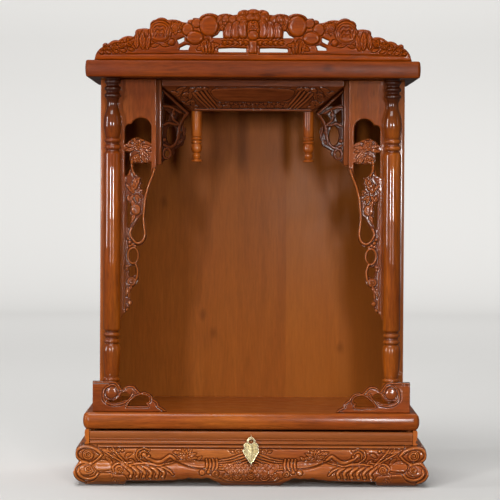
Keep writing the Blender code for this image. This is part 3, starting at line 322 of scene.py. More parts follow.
# %% The lacquered wood recipe
def lacquered(name, along, dark, light, red, gloss=0.07, coat=0.6, carved=False, seed=0.0,
              shade_in_cuts=0.88, crest_light=0.45, knots=(), boards=0.0, darker_by_height=None):
    """Stained wood under clear lacquer. dark and light are the ends of the grain's colours, and red
    is the warm blush that wanders over the boards. One share sets how dark the painted shade in the
    carving's cuts is and another how light its crests are, from polish wear and painted highlight;
    knots are places of small knots, boards is how much the boards of a panel differ, and a last
    pair of heights with a share darkens the colour between them (painted shadow on the columns)."""
    recipe = Recipe(name)
    place = recipe.node("ShaderNodeTexCoord").outputs["Object"]
    fibres = recipe.node("ShaderNodeMapping", {
        "Vector": stretched(recipe, along, 9.0), "Location": (seed, seed * 0.7, seed * 1.3),
    }).outputs["Vector"]
    figure = recipe.noise(fibres, 2.6, 5.0, 0.6, 1.4)
    streaks = recipe.noise(fibres, 26.0, 4.0, 0.65, 0.3)
    pores = recipe.noise(stretched(recipe, along, 28.0), 42.0, 2.0)
    blush = recipe.noise(place, 5.5, 3.0)
    wood = recipe.mix(recipe.spread(figure, 0.32, 0.68), (*dark, 1), (*light, 1))
    wood = recipe.mix(recipe.spread(blush, 0.40, 0.72, 0.0, 0.55), wood, (*red, 1))
    shade = recipe.maths(
        "MULTIPLY", recipe.spread(streaks, 0.30, 0.70, 0.66, 1.16), recipe.spread(pores, 0.30, 0.46, 0.70, 1.0),
    )
    grey = recipe.node("ShaderNodeCombineColor", {"Red": shade, "Green": shade, "Blue": shade})
    wood = recipe.mix(1.0, wood, grey.outputs["Color"], "MULTIPLY")
    if boards:
        wood = glued_up(recipe, wood, place, dark, light, boards)
    for spot in knots:
        wood = knotted(recipe, wood, place, streaks, dark, along, spot)
    if darker_by_height:
        wood = darkened_by_height(recipe, wood, place, dark, *darker_by_height)
    edge = recipe.stored("edge")
    # Painted shade: the cuts, and on carved work the low ground, are darkened.
    cut_shade = recipe.spread(edge, -0.015, -0.14, 0.0, shade_in_cuts)
    if carved:
        cut_shade = recipe.maths("MAXIMUM", cut_shade, recipe.spread(recipe.stored("height"), 0.05, 0.50, 0.55, 0.0))
    wood = recipe.mix(cut_shade, wood, tinted(dark, 0.20, 0.14, 0.14))
    # Crests are lightened as polish wear and painted highlight.
    wood = recipe.mix(recipe.spread(edge, 0.03, 0.14, 0.0, crest_light), wood, tinted(light, 1.3, 1.35, 1.3))
    recipe.to_shader("Base Color", wood)
    recipe.to_shader("Roughness", recipe.spread(recipe.noise(place, 38.0, 3.0), 0.3, 0.7, 0.30, 0.42))
    relief = recipe.maths("ADD", recipe.maths("MULTIPLY", streaks, 0.6), pores)
    bump = recipe.node("ShaderNodeBump", {"Height": relief, "Strength": 0.10, "Distance": 0.0004})
    if carved:
        worked = recipe.stored("worked")
        tooled = recipe.maths("MULTIPLY", recipe.noise(place, 300.0, 1.0), worked)
        bump = recipe.node("ShaderNodeBump", {
            "Height": tooled, "Strength": 0.35, "Distance": 0.0009, "Normal": bump.outputs["Normal"],
        })
        recipe.to_shader("Coat Normal", bump.outputs["Normal"])
        recipe.to_shader("Coat Weight", recipe.spread(worked, 0.0, 0.6, 0.35 * coat, coat))
    recipe.to_shader("Normal", bump.outputs["Normal"])
    for socket, value in (
        ("Specular IOR Level", 0.06), ("Coat Weight", coat), ("Coat Roughness", gloss), ("Coat IOR", 1.5),
    ):
        recipe.shader.inputs[socket].default_value = value
    return recipe.material


# %% [markdown]
# The finishes of this cabinet
#
# One stain and one lacquer went over the whole piece, and still no two parts look the same: the
# straight boards were rubbed down to a satin, the carving was left glossy, the top and the canopy
# are darker, the canopy posts and the canopy's scroll brackets are darkened further as painted shade
# of the niche's corners, and the columns and drops are the palest. So each kind of part has a finish
# of its own: the same recipe with other colours, gloss, and depth of painted shade in the cuts.

# %% Finishes of this cabinet
ORANGE = (0.42, 0.105, 0.012)
CHESTNUT = (0.26, 0.055, 0.008)
RED_BROWN = (0.25, 0.036, 0.006)

board_finish = lacquered("lacquered_board", "X", CHESTNUT, ORANGE, RED_BROWN, 0.16, 0.5, seed=0.3)
top_finish = lacquered(
    "lacquered_top", "X", (0.12, 0.020, 0.002), (0.21, 0.039, 0.003), (0.13, 0.015, 0.002), 0.34, 0.12,
    seed=6.1, knots=((0.025, 0, 0.710), (0.129, 0, 0.722)),
)
apron_finish = lacquered(
    "carved_apron", "X", (0.28, 0.066, 0.013), (0.50, 0.143, 0.028), RED_BROWN, 0.05, 1.0, True, 1.1,
    shade_in_cuts=0.66, darker_by_height=(0.0645, 0.0665, 0.52),
)
crest_finish = lacquered(
    "carved_crest", "X", (0.165, 0.025, 0.001), (0.31, 0.056, 0.001), (0.18, 0.020, 0.001), 0.10, 0.25,
    True, 2.7, shade_in_cuts=0.58,
)
upright_finish = lacquered(
    "carved_upright", "Z", (0.21, 0.046, 0.008), (0.33, 0.085, 0.015), RED_BROWN, 0.045, 1.0, True, 4.2,
)
drawer_face_finish = lacquered(
    "drawer_face", "X", (0.15, 0.042, 0.012), (0.29, 0.078, 0.018), (0.17, 0.036, 0.010), seed=3.9,
)
bracket_finish = lacquered(
    "carved_bracket", "X", (0.18, 0.035, 0.006), (0.31, 0.072, 0.011), RED_BROWN, 0.05, 0.9, True, 7.1,
    shade_in_cuts=0.8,
)
# The columns darken towards their tops as painted shadow of the top board.
column_finish = lacquered(
    "turned_column", "Z", (0.17, 0.031, 0.003), (0.40, 0.096, 0.006), (0.18, 0.024, 0.003), 0.045, 0.9,
    seed=5.9, shade_in_cuts=0.65, crest_light=0.0, darker_by_height=(0.585, 0.675, 0.93),
)
drop_finish = lacquered(
    "turned_drop", "Z", (0.24, 0.045, 0.005), (0.52, 0.130, 0.012), (0.28, 0.045, 0.005), 0.03, 1.0,
    seed=2.2, shade_in_cuts=0.65, crest_light=0.1,
)
# The canopy posts' dark colour is painted shade of the niche's corners.
shaded_post_finish = lacquered(
    "plain_upright_painted_shade", "Z", (0.11, 0.024, 0.005), (0.19, 0.044, 0.008), (0.12, 0.018, 0.004), seed=9.7,
)
wall_finish = lacquered("side_wall", "Z", CHESTNUT, (0.36, 0.095, 0.016), RED_BROWN, 0.12, seed=7.4)
back_finish = lacquered(
    "back_panel", "Z", (0.190, 0.044, 0.006), (0.315, 0.087, 0.012), (0.25, 0.048, 0.006), 0.34, 0.10,
    seed=8.8, boards=0.6,
    knots=((-0.164, 0, 0.488), (-0.0913, 0, 0.2796), (-0.0709, 0, 0.246), (0.1653, 0, 0.220)),
)
canopy_finish = lacquered(
    "carved_canopy", "X", (0.100, 0.023, 0.007), (0.27, 0.063, 0.014), (0.16, 0.028, 0.008), 0.16, 0.5,
    True, 3.3,
)
# The scroll brackets' very dark colour is painted shade of the niche's upper corners.
shaded_canopy_bracket_finish = lacquered(
    "carved_canopy_bracket_painted_shade", "X", (0.05, 0.012, 0.004), (0.15, 0.034, 0.009), (0.08, 0.014, 0.005), 0.06,
    0.55, True, 5.3,
)
print("finishes:", len(bpy.data.materials))

# %% [markdown]
# Plain boards with eased edges
#
# A joiner never leaves a sawn edge sharp: it chips, and lacquer won't hold on it. Each plain board
# here is a box whose edges are rounded with the Bevel tool of bmesh. Its size is read from the
# construction, so the dressed board can't drift from the solid that it stands for.

# %% Making a piece of the cabinet
# The bend lightens edges as wear and painted highlight, and darkens hollows as painted shade.
BEND_SHADE_AND_WEAR = 0.35                     # how much of the bend at a point counts as wear or as a hollow


def put_in_place(name, mesh, finish, body, stands_for, sharp):
    """The mesh becomes a smooth-shaded piece that rides on a body and stands for a solid."""
    mesh.materials.append(finish)
    mesh.shade_smooth()
    mesh.set_sharp_from_angle(angle=math.radians(sharp))
    piece = bpy.data.objects.new(name, mesh)
    bpy.context.scene.collection.objects.link(piece)
    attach(piece, body)
    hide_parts(stands_for)
    print(name, len(mesh.polygons), "faces")


def piece_from(name, build, finish, body, stands_for, sharp=40.0, shade_and_wear=None):
    """Turns a bmesh in the cabinet's frame into a piece. Unless wear and shade values are given, the
    edges that stand out are lightened as wear and painted highlight, and those that turn in are
    darkened as painted shade."""
    bmesh.ops.recalc_face_normals(build, faces=build.faces)
    if shade_and_wear is None:
        shade_and_wear = [
            BEND_SHADE_AND_WEAR * sum(edge.calc_face_angle_signed(0.0) for edge in vertex.link_edges) / len(vertex.link_edges)
            for vertex in build.verts
        ]
    mesh = bpy.data.meshes.new(name)
    build.to_mesh(mesh)
    build.free()
    mesh.attributes.new("edge", "FLOAT", "POINT").data.foreach_set("value", shade_and_wear)
    put_in_place(name, mesh, finish, body, stands_for, sharp)


def eased_board(node, finish, body="cabinet", ease=1.2 * MM, longer=0.0):
    """longer closes the hairline joint above and below a board that is housed in its neighbours."""
    low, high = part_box(node)
    low.z -= longer
    high.z += longer
    build = bmesh.new()
    bmesh.ops.create_cube(build, size=1.0)
    for vertex in build.verts:
        for i in range(3):
            vertex.co[i] = low[i] if vertex.co[i] < 0 else high[i]
    bmesh.ops.bevel(build, geom=build.edges[:], offset=ease, segments=3, profile=0.5, affect="EDGES")
    piece_from(node + "_board", build, finish, body, node)


# %% Side walls, canopy posts and the waist at the back
for node in ("left_side_wall", "right_side_wall"):
    eased_board(node, wall_finish, ease=1.5 * MM)
for node in ("left_canopy_post", "right_canopy_post"):
    eased_board(node, shaded_post_finish, ease=2.2 * MM)
eased_board("back_waist_moulding", board_finish, ease=1.0 * MM)

# %% [markdown]
# Round-nosed boards
#
# The niche floor and the top are thick boards whose front and side edges are turned over in one
# full round. The same half-oval is carried round all four edges as a stack of shrinking rectangles
# with rounded corners, which is how a router leaves it.

# %% Round-nosed boards
def skinned(build, rows, capped=True):
    """Faces from each row of points to the next, and with capped a face over both ends."""
    for near_row, far_row in zip(rows, rows[1:]):
        for i in range(len(near_row)):
            j = (i + 1) % len(near_row)
            build.faces.new((near_row[i], near_row[j], far_row[j], far_row[i]))
    if capped:
        build.faces.new(rows[0])
        build.faces.new(rows[-1])


def rounded_rectangle(low, high, inset, corner, steps=6):
    """Points of a rectangle with rounded corners, anticlockwise."""
    points = []
    centres = (
        (high[0] - corner, low[1] + corner, -90), (high[0] - corner, high[1] - corner, 0),
        (low[0] + corner, high[1] - corner, 90), (low[0] + corner, low[1] + corner, 180),
    )
    for x, y, start in centres:
        for step in range(steps + 1):
            turn = math.radians(start + 90 * step / steps)
            reach = corner - inset
            points.append((x + reach * math.cos(turn), y + reach * math.sin(turn)))
    return points


def round_nose(turn, nose):
    """A full half-round."""
    return nose * (1 - max(0.0, math.cos(turn)) ** 0.75)


def bowed_nose(turn, nose):
    """A front that is bowed only a little between two eased edges."""
    ease_from = 0.84                # share of the half thickness at which an edge starts to turn
    towards_edge = max(0.0, (abs(math.sin(turn)) - ease_from) / (1 - ease_from))
    bow = 0.42 * math.sin(turn) ** 2
    ease = 0.58 * (1 - math.sqrt(max(0.0, 1 - towards_edge ** 2)))
    return nose * (bow + ease)


def nosed_board(node, shape, nose, corner, finish):
    low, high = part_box(node)
    half = (high.z - low.z) / 2
    steps = 28
    build = bmesh.new()
    rows = []
    for step in range(steps + 1):
        turn = math.pi * (step / steps - 0.5)
        height = low.z + half + half * math.sin(turn)
        ring = rounded_rectangle(low, high, shape(turn, nose), corner)
        rows.append([build.verts.new((x, y, height)) for x, y in ring])
    skinned(build, rows)
    piece_from(node + "_nosed", build, finish, "cabinet", node)


nosed_board("base_board", round_nose, 8.5 * MM, 11 * MM, board_finish)
nosed_board("top_board", bowed_nose, 4.0 * MM, 6 * MM, top_finish)

# %% [markdown]
# Mouldings
#
# The waist is a moulding: a round over a hollow over a small bead. Its section is drawn once as a
# smooth curve through a few heights and depths, and that curve is drawn along the side boards and
# the drawer front alike, so that they meet as one moulding when the drawer is shut.

# %% Mouldings of the waist
def smooth_through(points, per_span=6):
    """A Catmull-Rom curve: it passes through every point and has no corners."""
    points = np.array(points, float)
    padded = np.vstack((2 * points[0] - points[1], points, 2 * points[-1] - points[-2]))
    curve = []
    for i in range(len(points) - 1):
        p0, p1, p2, p3 = padded[i:i + 4]
        for step in range(per_span):
            t = step / per_span
            curve.append(0.5 * (
                2 * p1 + (p2 - p0) * t + (2 * p0 - 5 * p1 + 4 * p2 - p3) * t * t
                + (3 * p1 - p0 - 3 * p2 + p3) * t * t * t
            ))
    curve.append(points[-1])
    return np.array(curve)


def extruded(name, section, start, end, finish, body, stands_for):
    """A closed section carried in a straight line from start to end."""
    build = bmesh.new()
    rows = [[build.verts.new(Vector(point) + Vector(place)) for point in section] for place in (start, end)]
    skinned(build, rows)
    piece_from(name, build, finish, body, stands_for)


# Depth in from the crown and height, both as shares, from the top down
WAIST_CURVE = (
    (0.40, 1.0), (0.14, 0.97), (0.04, 0.89), (0.0, 0.76), (0.02, 0.63), (0.08, 0.51), (0.17, 0.43),
    (0.19, 0.405), (0.08, 0.385), (0.06, 0.355), (0.14, 0.33), (0.32, 0.29), (0.38, 0.22), (0.28, 0.14),
    (0.08, 0.085), (0.0, 0.05), (0.06, 0.0),
)


def moulding_section(depth, height):
    return [(depth * inward, height * up) for inward, up in smooth_through(WAIST_CURVE, 4)]


WAIST_HOLLOW = 8 * MM           # depth of the moulding's hollow at the sides
DRAWER_HOLLOW = 9 * MM          # and on the drawer front
GAP = 0.3 * MM                  # between neighbours that touch
DRAWER_PLAY = 0.7 * MM          # between the drawer front's end and the side moulding
drawer_low, drawer_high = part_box("drawer_front")
for side, node in ((-1, "left_waist_moulding"), (1, "right_waist_moulding")):
    low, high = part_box(node)
    crown, inner = (high.x, low.x) if side > 0 else (low.x, high.x)
    beside = side * (drawer_high.x + DRAWER_PLAY)
    behind = drawer_high.y + GAP
    curve = moulding_section(WAIST_HOLLOW, high.z - low.z)
    build = bmesh.new()
    rows = []
    for y, back in ((low.y, beside), (behind, beside), (behind + GAP, inner), (high.y, inner)):
        ring = [(crown - side * inward, y, low.z + up) for inward, up in curve]
        ring += [(back, y, low.z), (back, y, high.z)]
        rows.append([build.verts.new(point) for point in ring])
    skinned(build, rows)
    piece_from(node + "_run", build, board_finish, "cabinet", node)

curve = moulding_section(DRAWER_HOLLOW, drawer_high.z - drawer_low.z)
section = [(0, drawer_low.y + inward, drawer_low.z + up) for inward, up in curve]
section += [(0, drawer_high.y, drawer_low.z), (0, drawer_high.y, drawer_high.z)]
extruded(
    "drawer_front_moulding", section, (drawer_low.x, 0, 0), (drawer_high.x, 0, 0), drawer_face_finish,
    "drawer", "drawer_front",
)
print("mouldings:", len(section), "points in the section")

# %% [markdown]
# Turnings
#
# The columns and the two drops under the canopy come off a lathe. A turner works from a pattern
# stick: heights with diameters, beads and coves marked between them. Here the stick is a list of
# heights and radii, a smooth curve joins them, and the curve is spun round its axis. Where two
# beads meet, the pattern has a repeated point, which keeps that crease sharp. Blender's Screw
# modifier would spin the curve as well, but the loop can also store on each ring how far it lies
# under the rings around it, and the creases are darkened by that as painted shade.

# %% The lathe
CREASE_REACH = 14               # of 1200 steps up the stick, for how deep a crease lies
# how dark the painted shade in the creases is
CREASE_SHADE = 0.9


def spun(name, pattern, node, finish, sides, fullness=1.0):
    """pattern is (height as a share of the length, radius as a share of the node's largest)."""
    low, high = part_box(node)
    centre = (low + high) / 2
    radius = fullness * (high.y - low.y) / 2 / max(share for _, share in pattern)
    length = high.z - low.z
    spans, current = [], [pattern[0]]
    for before, point in zip(pattern, pattern[1:]):
        if point == before:
            spans.append(current)
            current = [point]
        else:
            current.append(point)
    spans.append(current)
    profile = [tuple(point) for span in spans for point in (smooth_through(span) if len(span) > 2 else span)]
    steps = np.linspace(0, 1, 1200)
    stick = np.interp(steps, [height for height, _ in profile], [share for _, share in profile])
    window = 2 * CREASE_REACH + 1
    around = np.convolve(np.pad(stick, CREASE_REACH, mode="edge"), np.full(window, 1 / window), "valid")
    build = bmesh.new()
    rings, shade_and_wear = [], []
    last_height = -1.0
    for height, share in profile:
        if height - last_height < 1e-9:
            continue
        last_height = height
        shade_and_wear += [CREASE_SHADE * (share - float(np.interp(height, steps, around)))] * sides
        rings.append([
            build.verts.new((
                centre.x + radius * share * math.cos(2 * math.pi * side / sides),
                centre.y + radius * share * math.sin(2 * math.pi * side / sides),
                low.z + length * height,
            ))
            for side in range(sides)
        ])
    skinned(build, rings)
    piece_from(name, build, finish, "cabinet", node, 50.0, shade_and_wear)


def bead(middle, half, waist, crest):
    """A rounded ring between two creases, as pattern points."""
    low, high = (middle - half, waist), (middle + half, waist)
    rise = crest - waist
    return [
        low, low, (middle - half * 0.72, waist + rise * 0.70), (middle, crest),
        (middle + half * 0.72, waist + rise * 0.70), high, high,
    ]


# %% [markdown]
# Columns and drops
#
# From the floor up, a column has a plain foot, a ring, a slim vase, a pair of rings, the long plain
# shaft, another pair of rings, an upside-down vase and three last rings. The drops under the canopy
# are a short stub of the same work: a plain stem, two rings, and a baluster with a button.

# %% Columns and drops
COLUMN_PATTERN = (
    [(0.0, 0.95), (0.004, 0.97)] + [(0.004, 0.97), (0.080, 0.97)] + [(0.080, 0.97), (0.0845, 0.93)]
    + bead(0.0925, 0.0058, 0.78, 0.94)
    + [(0.104, 0.79), (0.112, 0.83), (0.130, 0.885), (0.150, 0.95), (0.1722, 1.0), (0.186, 0.985)]
    + [(0.196, 0.89)]
    + bead(0.2080, 0.0064, 0.74, 0.91) + [(0.2180, 0.70)] + bead(0.2278, 0.0062, 0.74, 0.91)
    + [(0.2370, 0.72), (0.2400, 0.82), (0.2430, 0.925), (0.2455, 0.953)]
    + [(0.2455, 0.953), (0.7720, 0.953)]
    + [(0.7720, 0.953), (0.7750, 0.925), (0.7780, 0.82), (0.7820, 0.72)]
    + bead(0.7925, 0.0064, 0.74, 0.91) + [(0.8028, 0.70)] + bead(0.8132, 0.0062, 0.74, 0.91)
    + [(0.8240, 0.79), (0.8380, 0.90), (0.8577, 1.0), (0.8730, 0.975), (0.8880, 0.90)]
    + [(0.9030, 0.73), (0.9150, 0.63), (0.9235, 0.60), (0.9310, 0.63), (0.9375, 0.71)]
    + bead(0.9480, 0.0064, 0.75, 0.91) + [(0.9585, 0.70)]
    + bead(0.9690, 0.0064, 0.75, 0.91) + [(0.9792, 0.70)]
    + bead(0.9895, 0.0060, 0.75, 0.90) + [(1.0, 0.78)]
)
COLUMN_FULLNESS = 1.03          # the widest round of the column against the construction's
DROP_PATTERN = (
    [(0.0, 0.60), (0.003, 0.86), (0.012, 0.96), (0.024, 0.94), (0.032, 0.78), (0.036, 0.58)]
    + [(0.036, 0.58), (0.044, 0.54), (0.060, 0.66), (0.080, 0.74), (0.096, 0.64), (0.108, 0.52)]
    + [(0.116, 0.56), (0.124, 0.72), (0.140, 0.88), (0.164, 0.96), (0.190, 0.94), (0.212, 0.86), (0.226, 0.76)]
    + bead(0.246, 0.0155, 0.76, 1.0) + [(0.2675, 0.73)] + bead(0.289, 0.0150, 0.76, 1.0)
    + [(0.310, 0.77), (0.318, 0.88), (0.330, 0.92)]
    + [(0.330, 0.92), (1.0, 0.92)]
)
for node in ("left_column", "right_column"):
    spun(node + "_turning", COLUMN_PATTERN, node, column_finish, 72, COLUMN_FULLNESS)
for node in ("left_pendant", "right_pendant"):
    spun(node + "_turning", DROP_PATTERN, node, drop_finish, 48)

# %% [markdown]
# Carving, part one: the cut-out
#
# A carver first saws the board to its outline and pierces it, and only then models the face. The
# outline here is a chain of arcs, because that is how a fret-saw pattern is drawn. To carve it, the
# face needs many points: a Delaunay triangulation fills the outline with small, even triangles and
# keeps every sawn edge exactly where it was drawn.

# %% Outlines made of arcs
FACET = math.radians(9)         # an arc turns by at most this much from one point to the next


def arcs(knots, down=False):
    """A closed chain of arcs, in millimetres. A knot is (a, b, rise): rise is how far the arc to the
    next knot bows outwards. down is True on a pattern whose b runs down the board."""
    side = -1 if down else 1
    points = []
    for (a, b, rise), (next_a, next_b, _) in zip(knots, knots[1:] + knots[:1]):
        start, end = Vector((a, b)), Vector((next_a, next_b))
        points.append(start)
        chord = end - start
        if abs(rise) < 1e-9 or chord.length < 1e-9:
            continue
        turn = 4 * math.atan2(2 * abs(rise), chord.length)
        count = max(2, math.ceil(turn / FACET))
        radius = chord.length / 2 / math.sin(turn / 2)
        onward = chord.normalized()
        outward = Vector((chord.y, -chord.x)).normalized() * (side if rise > 0 else -side)
        centre = start + chord / 2 - outward * radius * math.cos(turn / 2)
        for i in range(1, count):
            angle = turn * (i / count - 0.5)
            points.append(centre + radius * (outward * math.cos(angle) + onward * math.sin(angle)))
    return np.array([tuple(point) for point in points])


def mirrored(knots):
    """The whole outline of a board whose right half is given, ending at the middle of its top."""
    whole = list(knots[:-1]) + [(knots[-1][0], knots[-1][1], knots[-2][2])]
    first = 1 if abs(knots[0][0]) < 1e-9 else 0
    for i in range(len(knots) - 2, first - 1, -1):
        whole.append((-knots[i][0], knots[i][1], knots[i - 1][2] if i > 0 else 0))
    return whole


def oval(a, b, radius_a, radius_b, sides=40):
    turns = np.arange(sides) * 2 * math.pi / sides
    return np.column_stack((a + radius_a * np.cos(turns), b + radius_b * np.sin(turns)))


def ring_line(a, b, radius_a, radius_b, sides):
    """An oval that comes back to its first point, for strokes that run all the way round."""
    loop = oval(a, b, radius_a, radius_b, sides)
    return np.vstack((loop, loop[:1]))


print("a half round of arcs has", len(arcs([(-10, 0, 10), (10, 0, 0)])), "points")

# %% [markdown]
# Filling the cut-out with points
#
# To carve a face, Blender needs points to lift. A fine grid cut by the outline would leave slivers
# along the curves. So the rim gets its own evenly spaced points, rows of points fill the inside,
# each row staggered against the next, and none of them comes too near a rim. The numbers are held
# in arrays, because a board has some ten thousand points, and a loop over each would be slow.

# %% Distances, insides and even points
def edges_of(loops):
    for loop in loops:
        yield from zip(loop, np.roll(loop, -1, axis=0))


def inside(points, loops):
    """True where a point is inside the outline and outside its holes."""
    within = np.zeros(len(points), bool)
    for (a0, b0), (a1, b1) in edges_of(loops):
        level = np.flatnonzero((points[:, 1] >= b0) != (points[:, 1] >= b1))
        crossing = a0 + (points[level, 1] - b0) / (b1 - b0) * (a1 - a0)
        within[level] ^= points[level, 0] < crossing
    return within


def edge_distance(points, loops, reach):
    """Distance from each point to the nearest sawn edge, as far as reach."""
    nearest = np.full(len(points), float(reach))
    for start, end in edges_of(loops):
        low, high = np.minimum(start, end) - reach, np.maximum(start, end) + reach
        near = np.flatnonzero(((points > low) & (points < high)).all(axis=1))
        along = end - start
        share = np.clip((points[near] - start) @ along / max(along @ along, 1e-12), 0, 1)
        away = np.linalg.norm(points[near] - start - share[:, None] * along, axis=1)
        nearest[near] = np.minimum(nearest[near], away)
    return nearest


def spaced(loop, step):
    """The loop with points about a step apart, its own corners kept."""
    parts = []
    for start, end in edges_of([loop]):
        count = max(1, round(float(np.linalg.norm(end - start)) / step))
        parts.append(start + (end - start) * (np.arange(count) / count)[:, None])
    return np.concatenate(parts)


def triangulated(rim, filling):
    """Triangles between closed rims and the points inside them."""
    points = [Vector(point) for loop in rim for point in loop]
    edges, first = [], 0
    for loop in rim:
        edges += [(first + i, first + (i + 1) % len(loop)) for i in range(len(loop))]
        first += len(loop)
    found = delaunay_2d_cdt(points + [Vector(point) for point in filling], edges, [], 0, 1e-5)
    flat = np.array([tuple(point) for point in found[0]])
    faces = np.array(found[2])
    on_rim = np.array([not inputs or min(inputs) < first for inputs in found[3]])
    doubtful = np.flatnonzero(on_rim[faces].all(axis=1))
    keep = np.ones(len(faces), bool)
    keep[doubtful] = inside(flat[faces[doubtful]].mean(axis=1), rim)
    return flat, faces[keep], on_rim


ROW_STEP = 0.87                 # height of a row of even triangles, as a share of their side
CLEAR_OF_RIM = 0.55


def even_points(loops, step):
    """Points in staggered rows inside the loops, clear of their edges."""
    low = np.min([loop.min(axis=0) for loop in loops], axis=0)
    high = np.max([loop.max(axis=0) for loop in loops], axis=0)
    rows = []
    for i, b in enumerate(np.arange(low[1] + step / 2, high[1], step * ROW_STEP)):
        a = np.arange(low[0] + step * (0.25 + 0.5 * (i % 2)), high[0], step)
        rows.append(np.column_stack((a, np.full(len(a), b))))
    points = np.concatenate(rows)
    points = points[inside(points, loops)]
    return points[edge_distance(points, loops, step) > CLEAR_OF_RIM * step]


print("a round disc of 10 mm, filled:", len(even_points([oval(0, 0, 10, 10)], 0.8)), "points")

# %% [markdown]
# Carving, part two: the strokes
#
# The face is built from strokes, as a carver would name them: stems, leaves, scrolls, blossoms,
# beads and ribs. Each stroke is a height above the board's ground that depends on how far a point
# is from the middle of the stroke. Where strokes meet, the higher one stays, as when one leaf lies
# over another. The ground is sunk a little beside each stroke, which is the stop-cut that makes
# carving read as dark lines from across a room.

# %% The carver
STOP_CUT = 0.22                 # how deep a later stroke's edge cuts into an earlier one
STOP_CUT_WIDTH = 1.1


class Carver:
    """Collects strokes on a board's points, in millimetres. Heights are shares of the full relief."""

    def __init__(self, points, mirror=False):
        self.points = points
        self.signs = (1, -1) if mirror else (1,)
        self.top = np.full(len(points), -1.0)
        self.beside = np.full(len(points), 9.0)
        self.incised = np.zeros(len(points))

    def near(self, sign, low, high, reach):
        a, b = self.points[:, 0] * sign, self.points[:, 1]
        near = (a > low[0] - reach) & (a < high[0] + reach) & (b > low[1] - reach) & (b < high[1] + reach)
        near = np.flatnonzero(near)
        return near, np.column_stack((a[near], b[near]))

    def raise_to(self, near, height, outside):
        """Lays a stroke over the earlier ones, with a fine cut into them along its edge."""
        cut = STOP_CUT * np.exp(-((np.maximum(outside, 0) / STOP_CUT_WIDTH) ** 2))
        below = np.where(self.top[near] >= 0, np.maximum(self.top[near] - cut * (outside > 0), 0), -1)
        self.top[near] = np.maximum(below, np.where(outside < 0, height, -1))
        self.beside[near] = np.minimum(self.beside[near], np.maximum(outside, 0))

    def line(self, chain, widths, heights, section):
        """Every stroke that follows a line: section(t, u) shapes it across and along."""
        chain = np.array(chain, float)
        widths, heights = np.asarray(widths, float), np.asarray(heights, float)
        lengths = np.linalg.norm(np.diff(chain, axis=0), axis=1)
        begun = np.concatenate(([0.0], np.cumsum(lengths))) / max(lengths.sum(), 1e-9)
        reach = widths.max() + 2.0
        for sign in self.signs:
            near, at = self.near(sign, chain.min(axis=0), chain.max(axis=0), reach)
            if not len(near):
                continue
            away = np.full(len(near), 1e9)
            width, height, along = (np.zeros(len(near)) for _ in range(3))
            for i, length in enumerate(lengths):
                step = chain[i + 1] - chain[i]
                share = np.clip((at - chain[i]) @ step / max(length * length, 1e-12), 0, 1)
                offset = at - chain[i] - share[:, None] * step
                distance = np.hypot(offset[:, 0], offset[:, 1])
                closer = distance < away
                away[closer] = distance[closer]
                width[closer] = (widths[i] + share * (widths[i + 1] - widths[i]))[closer]
                height[closer] = (heights[i] + share * (heights[i + 1] - heights[i]))[closer]
                along[closer] = (begun[i] + share * (begun[i + 1] - begun[i]))[closer]
            t = away / np.maximum(width, 1e-6)
            self.raise_to(near, height * section(np.clip(t, 0, 1), along), away - width)

    def stem(self, points, width, height=1.0, taper=0.55):
        """A round stem that is thinner at its ends."""
        chain = smooth_through(points, 6) if len(points) > 2 else np.array(points, float)
        share = np.linspace(0, 1, len(chain))
        thin = taper + (1 - taper) * np.sin(math.pi * np.clip(share * 0.9 + 0.05, 0, 1)) ** 0.6
        self.line(chain, width * thin, height * (0.6 + 0.4 * thin), rounded)

    def scroll(self, a, b, radius, heading, turns, hand, width, height=1.0):
        """A spiral from its outer end inwards, round a bead; hand is 1 anticlockwise, -1 clockwise."""
        share = np.linspace(0, 1, max(14, round(turns * 22)))
        reach = radius * (1 - 0.80 * share)
        turn = math.radians(heading) + hand * 2 * math.pi * turns * share
        chain = np.column_stack((a + reach * np.cos(turn), b + reach * np.sin(turn)))
        self.line(chain, width * (1 - 0.40 * share), height * (0.62 + 0.38 * share), channelled)
        self.bead(a, b, radius * 0.24, height)

    def leaf(self, a, b, heading, length, width, height=1.0, bend=0.0, lobes=3):
        """A cupped leaf with a sunk middle vein and slanting side veins."""
        share = np.linspace(0, 1, 12)
        turn = np.radians(heading + bend * share)
        steps = np.column_stack((np.cos(turn), np.sin(turn))) * length / 11
        chain = np.array((a, b)) + np.vstack(((0, 0), np.cumsum(steps[:-1], axis=0)))
        outline = np.sin(math.pi * np.clip(share, 0.04, 0.985) ** 0.72) ** 0.8
        outline *= 1 - 0.16 * (0.5 + 0.5 * np.cos(2 * math.pi * lobes * share))

        def veined(t, u):
            cup = 0.70 + 0.30 * np.sin(math.pi / 2 * np.minimum(1, t / 0.55))
            edge = np.sqrt(np.clip(1 - t ** 4, 0, 1))
            vein = 1 - 0.22 * np.abs(np.sin(math.pi * (u * (lobes + 2) - 0.9 * t))) ** 10
            return cup * edge * vein * (0.72 + 0.28 * np.sin(math.pi * u ** 0.7))

        self.line(chain, width * outline, np.full(12, height), veined)

    def around(self, a, b, radius, shape):
        """Every stroke that turns about a point: shape(r, angle) gives height and the edge's share."""
        for sign in self.signs:
            near, at = self.near(sign, (a, b), (a, b), radius + 2.0)
            if not len(near):
                continue
            r = np.hypot(at[:, 0] - a, at[:, 1] - b)
            angle = np.arctan2(at[:, 1] - b, at[:, 0] - a)
            height, edge = shape(r / radius, angle)
            self.raise_to(near, height, r - radius * edge)

    def bead(self, a, b, radius, height=1.0):
        self.around(a, b, radius, lambda r, angle: (height * np.sqrt(np.clip(1 - r * r, 0, 1)), 1.0))

    def blossom(self, a, b, radius, petals, height=1.0, rows=2, twist=0.0):
        """An open flower: rows of cupped petals round a domed heart."""
        for row in range(rows):
            size = 1 - 0.36 * row
            turn0 = twist + row * math.pi / petals
            level = height * (0.66 + 0.26 * row)

